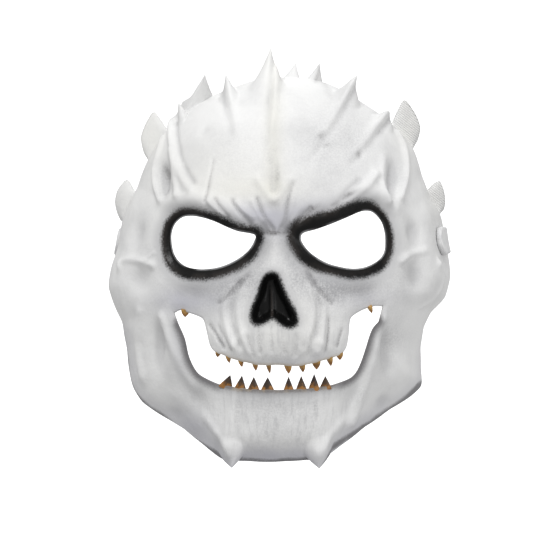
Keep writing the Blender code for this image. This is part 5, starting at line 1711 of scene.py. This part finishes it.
def tooth_tree():
    """Geometry nodes: a pointed tooth with a round root on each point of a mesh."""
    tree = bpy.data.node_groups.new("pointed_teeth", "GeometryNodeTree")
    kinds = {
        "Geometry": "Geometry", "Rings": "Int", "Sides": "Int", "Fullness": "Float", "Material": "Material",
    }
    for name, kind in kinds.items():
        tree.interface.new_socket(name, in_out="INPUT", socket_type=f"NodeSocket{kind}")
    tree.interface.new_socket("Geometry", in_out="OUTPUT", socket_type="NodeSocketGeometry")
    nodes = Nodes(tree)
    given = nodes.node("NodeGroupInput").outputs

    line = nodes.node("GeometryNodeCurvePrimitiveLine", [("End", (0.0, 0.0, 1.0))]).outputs["Curve"]
    steps = nodes.node("GeometryNodeResampleCurve", [("Curve", line), ("Count", given["Rings"])])
    along = nodes.node("GeometryNodeSplineParameter").outputs["Factor"]
    radius = nodes.math("SUBTRACT", TOOTH_ROOT_SHARE, nodes.math("POWER", along, given["Fullness"]))
    kept = nodes.node(
        "GeometryNodeStoreNamedAttribute",
        [("Geometry", steps.outputs["Curve"]), ("Name", "root_to_tip"), ("Value", along)],
        data_type="FLOAT",
    )
    shaped = nodes.node("GeometryNodeSetCurveRadius", [
        ("Curve", kept.outputs["Geometry"]), ("Radius", radius),
    ])
    section = nodes.node("GeometryNodeCurvePrimitiveCircle", [
        ("Radius", 0.5), ("Resolution", given["Sides"]),
    ])
    body = nodes.node("GeometryNodeCurveToMesh", [
        ("Curve", shaped.outputs["Curve"]), ("Profile Curve", section.outputs["Curve"]), ("Fill Caps", True),
    ])
    # Where this node has a scale of its own, that takes the place of the curve's radius
    if "Scale" in body.inputs:
        nodes.link(radius, body.inputs["Scale"])

    reach, size = (
        nodes.node("GeometryNodeInputNamedAttribute", [("Name", name)], data_type="FLOAT_VECTOR")
        for name in ("reach", "size")
    )
    aimed = nodes.node(
        "FunctionNodeAlignRotationToVector", [("Vector", reach.outputs["Attribute"])], axis="Z",
    )
    placed = nodes.node("GeometryNodeInstanceOnPoints", [
        ("Points", given["Geometry"]),
        ("Instance", body.outputs["Mesh"]),
        ("Rotation", aimed.outputs["Rotation"]),
        ("Scale", size.outputs["Attribute"]),
    ])
    real = nodes.node("GeometryNodeRealizeInstances", [("Geometry", placed.outputs["Instances"])])
    painted = nodes.node("GeometryNodeSetMaterial", [
        ("Geometry", real.outputs["Geometry"]), ("Material", given["Material"]),
    ])
    nodes.node("NodeGroupOutput", [("Geometry", painted.outputs["Geometry"])])
    return tree


def made_plain(piece, name):
    """The piece as its modifiers leave it, as a plain mesh object."""
    shown = piece.evaluated_get(bpy.context.evaluated_depsgraph_get())
    mesh = bpy.data.meshes.new_from_object(shown)
    mesh.name = name
    bpy.data.objects.remove(piece, do_unlink=True)
    plain = bpy.data.objects.new(name, mesh)
    bpy.context.scene.collection.objects.link(plain)
    return plain


def make_teeth(tree, name, teeth, edge, make, material):
    roots, tips = tooth_places(teeth, edge)
    reach = tips - roots
    length = np.linalg.norm(reach, axis=1)
    roots = roots - reach / length[:, None] * make.root_depth
    widths = [TOOTH_SPREAD * tooth.root_width for tooth in teeth]
    sizes = np.column_stack([widths, np.full(len(teeth), make.thickness), length + make.root_depth])
    points = new_piece(f"{name}_roots", roots, [], smooth=False)
    for attribute, values in (("reach", reach), ("size", sizes * MM)):
        made = points.data.attributes.new(attribute, "FLOAT_VECTOR", "POINT")
        made.data.foreach_set("vector", values.astype(np.float32).ravel())
    store(points, "tint", np.random.default_rng(RANDOM_SEED).random(len(teeth)))
    modifier = points.modifiers.new("teeth", "NODES")
    modifier.node_group = tree
    values = {"Rings": TOOTH_RINGS, "Sides": TOOTH_SIDES, "Fullness": make.fullness, "Material": material}
    for socket in tree.interface.items_tree:
        if socket.name in values:
            modifier[socket.identifier] = values[socket.name]
    piece = made_plain(points, name)
    piece.data.shade_smooth()
    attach(piece, "root")
    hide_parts("mask_shell")


def make_slab(name, under, over):
    """A closed solid between two equal grids of points, rows by columns."""
    rows, columns = under.shape[:2]
    points = np.vstack([under.reshape(-1, 3), over.reshape(-1, 3)])
    offset = rows * columns
    faces = []
    for row in range(rows - 1):
        for column in range(columns - 1):
            a = row * columns + column
            quad = (a, a + 1, a + columns + 1, a + columns)
            faces += [quad[::-1], tuple(corner + offset for corner in quad)]
    border = [(0, c) for c in range(columns)] + [(r, columns - 1) for r in range(1, rows)]
    border += [(rows - 1, c) for c in range(columns - 2, -1, -1)] + [(r, 0) for r in range(rows - 2, 0, -1)]
    indices = [r * columns + c for r, c in border]
    for a, b in zip(indices, indices[1:] + indices[:1]):
        faces.append((a, b, b + offset, a + offset))
    piece = new_piece(name, points, faces)
    turn_outwards(piece)
    return piece


def on_shell(place, height):
    """A point that stands off the outer face of the shell."""
    u, v = place[..., 0], place[..., 1]
    return raised(u, v, deep_relief(u, v, 0.0) + surface_relief(u, v) + height)


def band_lines(count):
    """Lines along the band's inner face, side by side, from under the right tab to under the left one."""
    lines = []
    for side in np.linspace(-0.5, 0.5, count) * BAND_WIDTH:
        glued = []
        for tab in TABS:
            middle = layout(tab.angle, tab.turn)
            back, sideways = axes(middle)
            beyond = (rim_reach(tab.angle) - np.linalg.norm(middle)) / np.linalg.norm(back) + PAST_RIM
            reach = np.arange(TAB_LENGTH / 2 - BAND_UNDER_TAB, beyond, GLUED_STEP)
            around = side * sideways * (1.0 if tab.angle < 90 else -1.0)
            glued.append(on_shell(middle + reach[:, None] * back + around, GAP))
        route = np.array(BAND_ROUTE) + np.array([0.0, 0.0, side])
        free = smooth_path(np.vstack([glued[0][-2:], route, glued[1][:-3:-1]]), steps=8)[8:-8]
        lines.append(np.vstack([glued[0][:-2], resampled(free, BAND_STEPS), glued[1][:-2][::-1]]))
    return lines


def make_band():
    """A band knitted with lengthwise ribs, each a little round in section."""
    edge_lines = band_lines(BAND_LINES)
    columns = RIB_COUNT * RIB_POINTS + 1
    across = np.linspace(0.0, 1.0, columns)
    smooth = [smooth_path(line, steps=BAND_FINER) for line in edge_lines]
    stacked = np.stack(smooth, axis=1)
    at = across * (BAND_LINES - 1)
    low = np.minimum(at.astype(int), BAND_LINES - 2)
    share = (at - low)[None, :, None]
    middle = stacked[:, low] * (1.0 - share) + stacked[:, low + 1] * share
    along = np.gradient(middle, axis=0)
    side = np.gradient(middle, axis=1)
    outwards = np.cross(along, side)
    outwards /= np.linalg.norm(outwards, axis=2, keepdims=True)
    groove = 1.0 - np.abs(np.sin(np.pi * across * RIB_COUNT)) ** RIB_ROUNDNESS
    rib = RIB_HEIGHT * groove[None, :, None]
    under = middle + rib * outwards
    over = middle + (BAND_THICKNESS - rib) * outwards
    piece = make_slab("strap_band_knitted", under, over)
    lengths = distances_along(middle[:, columns // 2])
    grid = np.stack(np.broadcast_arrays(lengths[:, None], across[None, :] * BAND_WIDTH), axis=2)
    places = np.tile(grid.reshape(-1, 2), (2, 1)) * MM
    corners = np.empty(len(piece.data.loops), np.int32)
    piece.data.loops.foreach_get("vertex_index", corners)
    piece.data.uv_layers.new(name="weave").data.foreach_set("uv", places[corners].astype(np.float32).ravel())
    piece.data.materials.append(woven_elastic())
    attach(piece, "root")
    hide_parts("strap_band")


def make_tab(tab):
    """A D-shaped patch: a round end towards the face, a straight end towards the back, with rounded edges."""
    middle = layout(tab.angle, tab.turn)
    back, sideways = axes(middle)
    half = TAB_WIDTH / 2
    bend = half * (1.0 - np.cos(np.linspace(TAB_FIRST_BEND, math.pi / 2, TAB_ROWS)))
    along = np.concatenate([bend, np.linspace(half, TAB_LENGTH, TAB_ROWS + 4)[1:]])
    half_width = np.where(along < half, np.sqrt(np.maximum(half**2 - (half - along) ** 2, 0.0)), half)
    to_end = np.clip((TAB_CORNER - (TAB_LENGTH - along)) / TAB_CORNER, 0.0, 1.0)
    half_width = half_width - TAB_CORNER * (1.0 - np.sqrt(1.0 - TAB_CORNER_CUT * to_end**2))
    across = np.sin(np.linspace(-math.pi / 2, math.pi / 2, TAB_LINES))
    columns = half_width[:, None] * across[None, :]
    start = middle - back * TAB_LENGTH / 2
    places = start + along[:, None, None] * back + columns[..., None] * sideways
    from_sides = half_width[:, None] - np.abs(columns)
    from_ends = np.minimum(along, TAB_LENGTH - along)[:, None]
    gap = np.maximum(np.minimum(from_sides, from_ends), 0.0)
    rounding = np.sqrt(1.0 - (1.0 - np.clip(gap / TAB_ROUND, 0.0, 1.0)) ** 2)
    over_length = smooth_step(*RISE_AT_END, along - (TAB_LENGTH - BAND_UNDER_TAB))[:, None]
    over_width = smooth_step(*RISE_AT_SIDES, BAND_WIDTH / 2 + BAND_SIDE_ROOM - np.abs(columns))
    under = on_shell(places, GAP + (BAND_THICKNESS + GAP) * over_length * over_width)
    over = on_shell(places, TAB_LOW + (TAB_HEIGHT - TAB_LOW) * rounding)
    piece = make_slab(f"strap_patch_{tab.name}", under, over)
    store(piece, "patch_edge", np.tile(gap.ravel(), 2))
    piece.data.materials.append(patch_latex())
    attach(piece, "root")
    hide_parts(f"strap_tab_{tab.name}")


def area_light(name, place, size, power):
    light = bpy.data.lights.new(name, "AREA")
    light.shape = "DISK"
    light.size = size
    light.energy = power
    lamp = bpy.data.objects.new(name, light)
    lamp.location = place
    lamp.rotation_euler = (Vector(LAMP_AIM) - Vector(place)).to_track_quat("-Z", "Y").to_euler()
    bpy.context.scene.collection.objects.link(lamp)


def make_backdrop():
    """A plain pale floor that curves up into a wall all round."""
    profile = [(0.0, 0.0), (BACKDROP_FLAT, 0.0)]
    for step in range(1, BACKDROP_BENDS + 1):
        turned = step / BACKDROP_BENDS * math.pi / 2
        across, up = math.sin(turned), 1.0 - math.cos(turned)
        profile.append((BACKDROP_FLAT + BACKDROP_CURVE * across, BACKDROP_CURVE * up))
    profile.append((BACKDROP_FLAT + BACKDROP_CURVE, BACKDROP_HEIGHT))
    editing = bmesh.new()
    line = [editing.verts.new((x, 0.0, FLOOR_Z + z)) for x, z in profile]
    edges = [editing.edges.new(pair) for pair in zip(line[:-1], line[1:])]
    around = {"axis": (0, 0, 1), "cent": (0, 0, 0), "steps": BACKDROP_SIDES, "angle": 2 * math.pi}
    bmesh.ops.spin(editing, geom=line + edges, **around)
    bmesh.ops.remove_doubles(editing, verts=editing.verts, dist=0.0001)
    bmesh.ops.recalc_face_normals(editing, faces=editing.faces)
    mesh = bpy.data.meshes.new("backdrop")
    editing.to_mesh(mesh)
    editing.free()
    mesh.shade_smooth()
    backdrop = bpy.data.objects.new("backdrop", mesh)
    bpy.context.scene.collection.objects.link(backdrop)
    shader = Shader("backdrop_paint")
    shader.surface.inputs["Base Color"].default_value = (*BACKDROP_GREY, 1.0)
    shader.surface.inputs["Roughness"].default_value = 0.9
    shader.surface.inputs["Emission Color"].default_value = (1.0, 1.0, 1.0, 1.0)
    shader.surface.inputs["Emission Strength"].default_value = BACKDROP_GLOW
    mesh.materials.append(shader.material)
    backdrop.visible_diffuse = False
    backdrop.visible_glossy = False
    backdrop.visible_shadow = False


def make_light():
    world = bpy.data.worlds.new("studio")
    world.use_nodes = True
    world.node_tree.nodes["Background"].inputs["Color"].default_value = (1.0, 1.0, 1.0, 1.0)
    world.node_tree.nodes["Background"].inputs["Strength"].default_value = WORLD_LIGHT
    bpy.context.scene.world = world
    for name, place, size, power in LAMPS:
        area_light(name, place, size, power)


def make_camera():
    camera = bpy.data.cameras.new("camera")
    camera.sensor_width = SENSOR
    camera.lens = SENSOR * CAMERA_DISTANCE / FRAME_WIDTH
    camera.clip_start = NEAREST_SHOWN
    camera.clip_end = FARTHEST_SHOWN
    viewer = bpy.data.objects.new("camera", camera)
    viewer.location = (FRAME_MIDDLE_X, -CAMERA_DISTANCE, FRAME_MIDDLE_Z)
    viewer.rotation_euler = (math.pi / 2, 0.0, 0.0)
    bpy.context.scene.collection.objects.link(viewer)
    bpy.context.scene.camera = viewer


make_camera()
bpy.context.scene.view_settings.view_transform = "Standard"
make_shell()
tooth_nodes = tooth_tree()
upper_edge, lower_edge = mouth_edges()
upper_paint = tooth_paint("upper_tooth_paint", TOOTH_GOLD, TOOTH_AMBER)
lower_paint = tooth_paint("lower_tooth_paint", TOOTH_AMBER, TOOTH_DARK)
make_teeth(tooth_nodes, "teeth_upper", UPPER_TEETH, upper_edge, UPPER_MAKE, upper_paint)
make_teeth(tooth_nodes, "teeth_lower", LOWER_TEETH, lower_edge, LOWER_MAKE, lower_paint)
make_band()
for strap_tab in TABS:
    make_tab(strap_tab)
make_backdrop()
make_light()
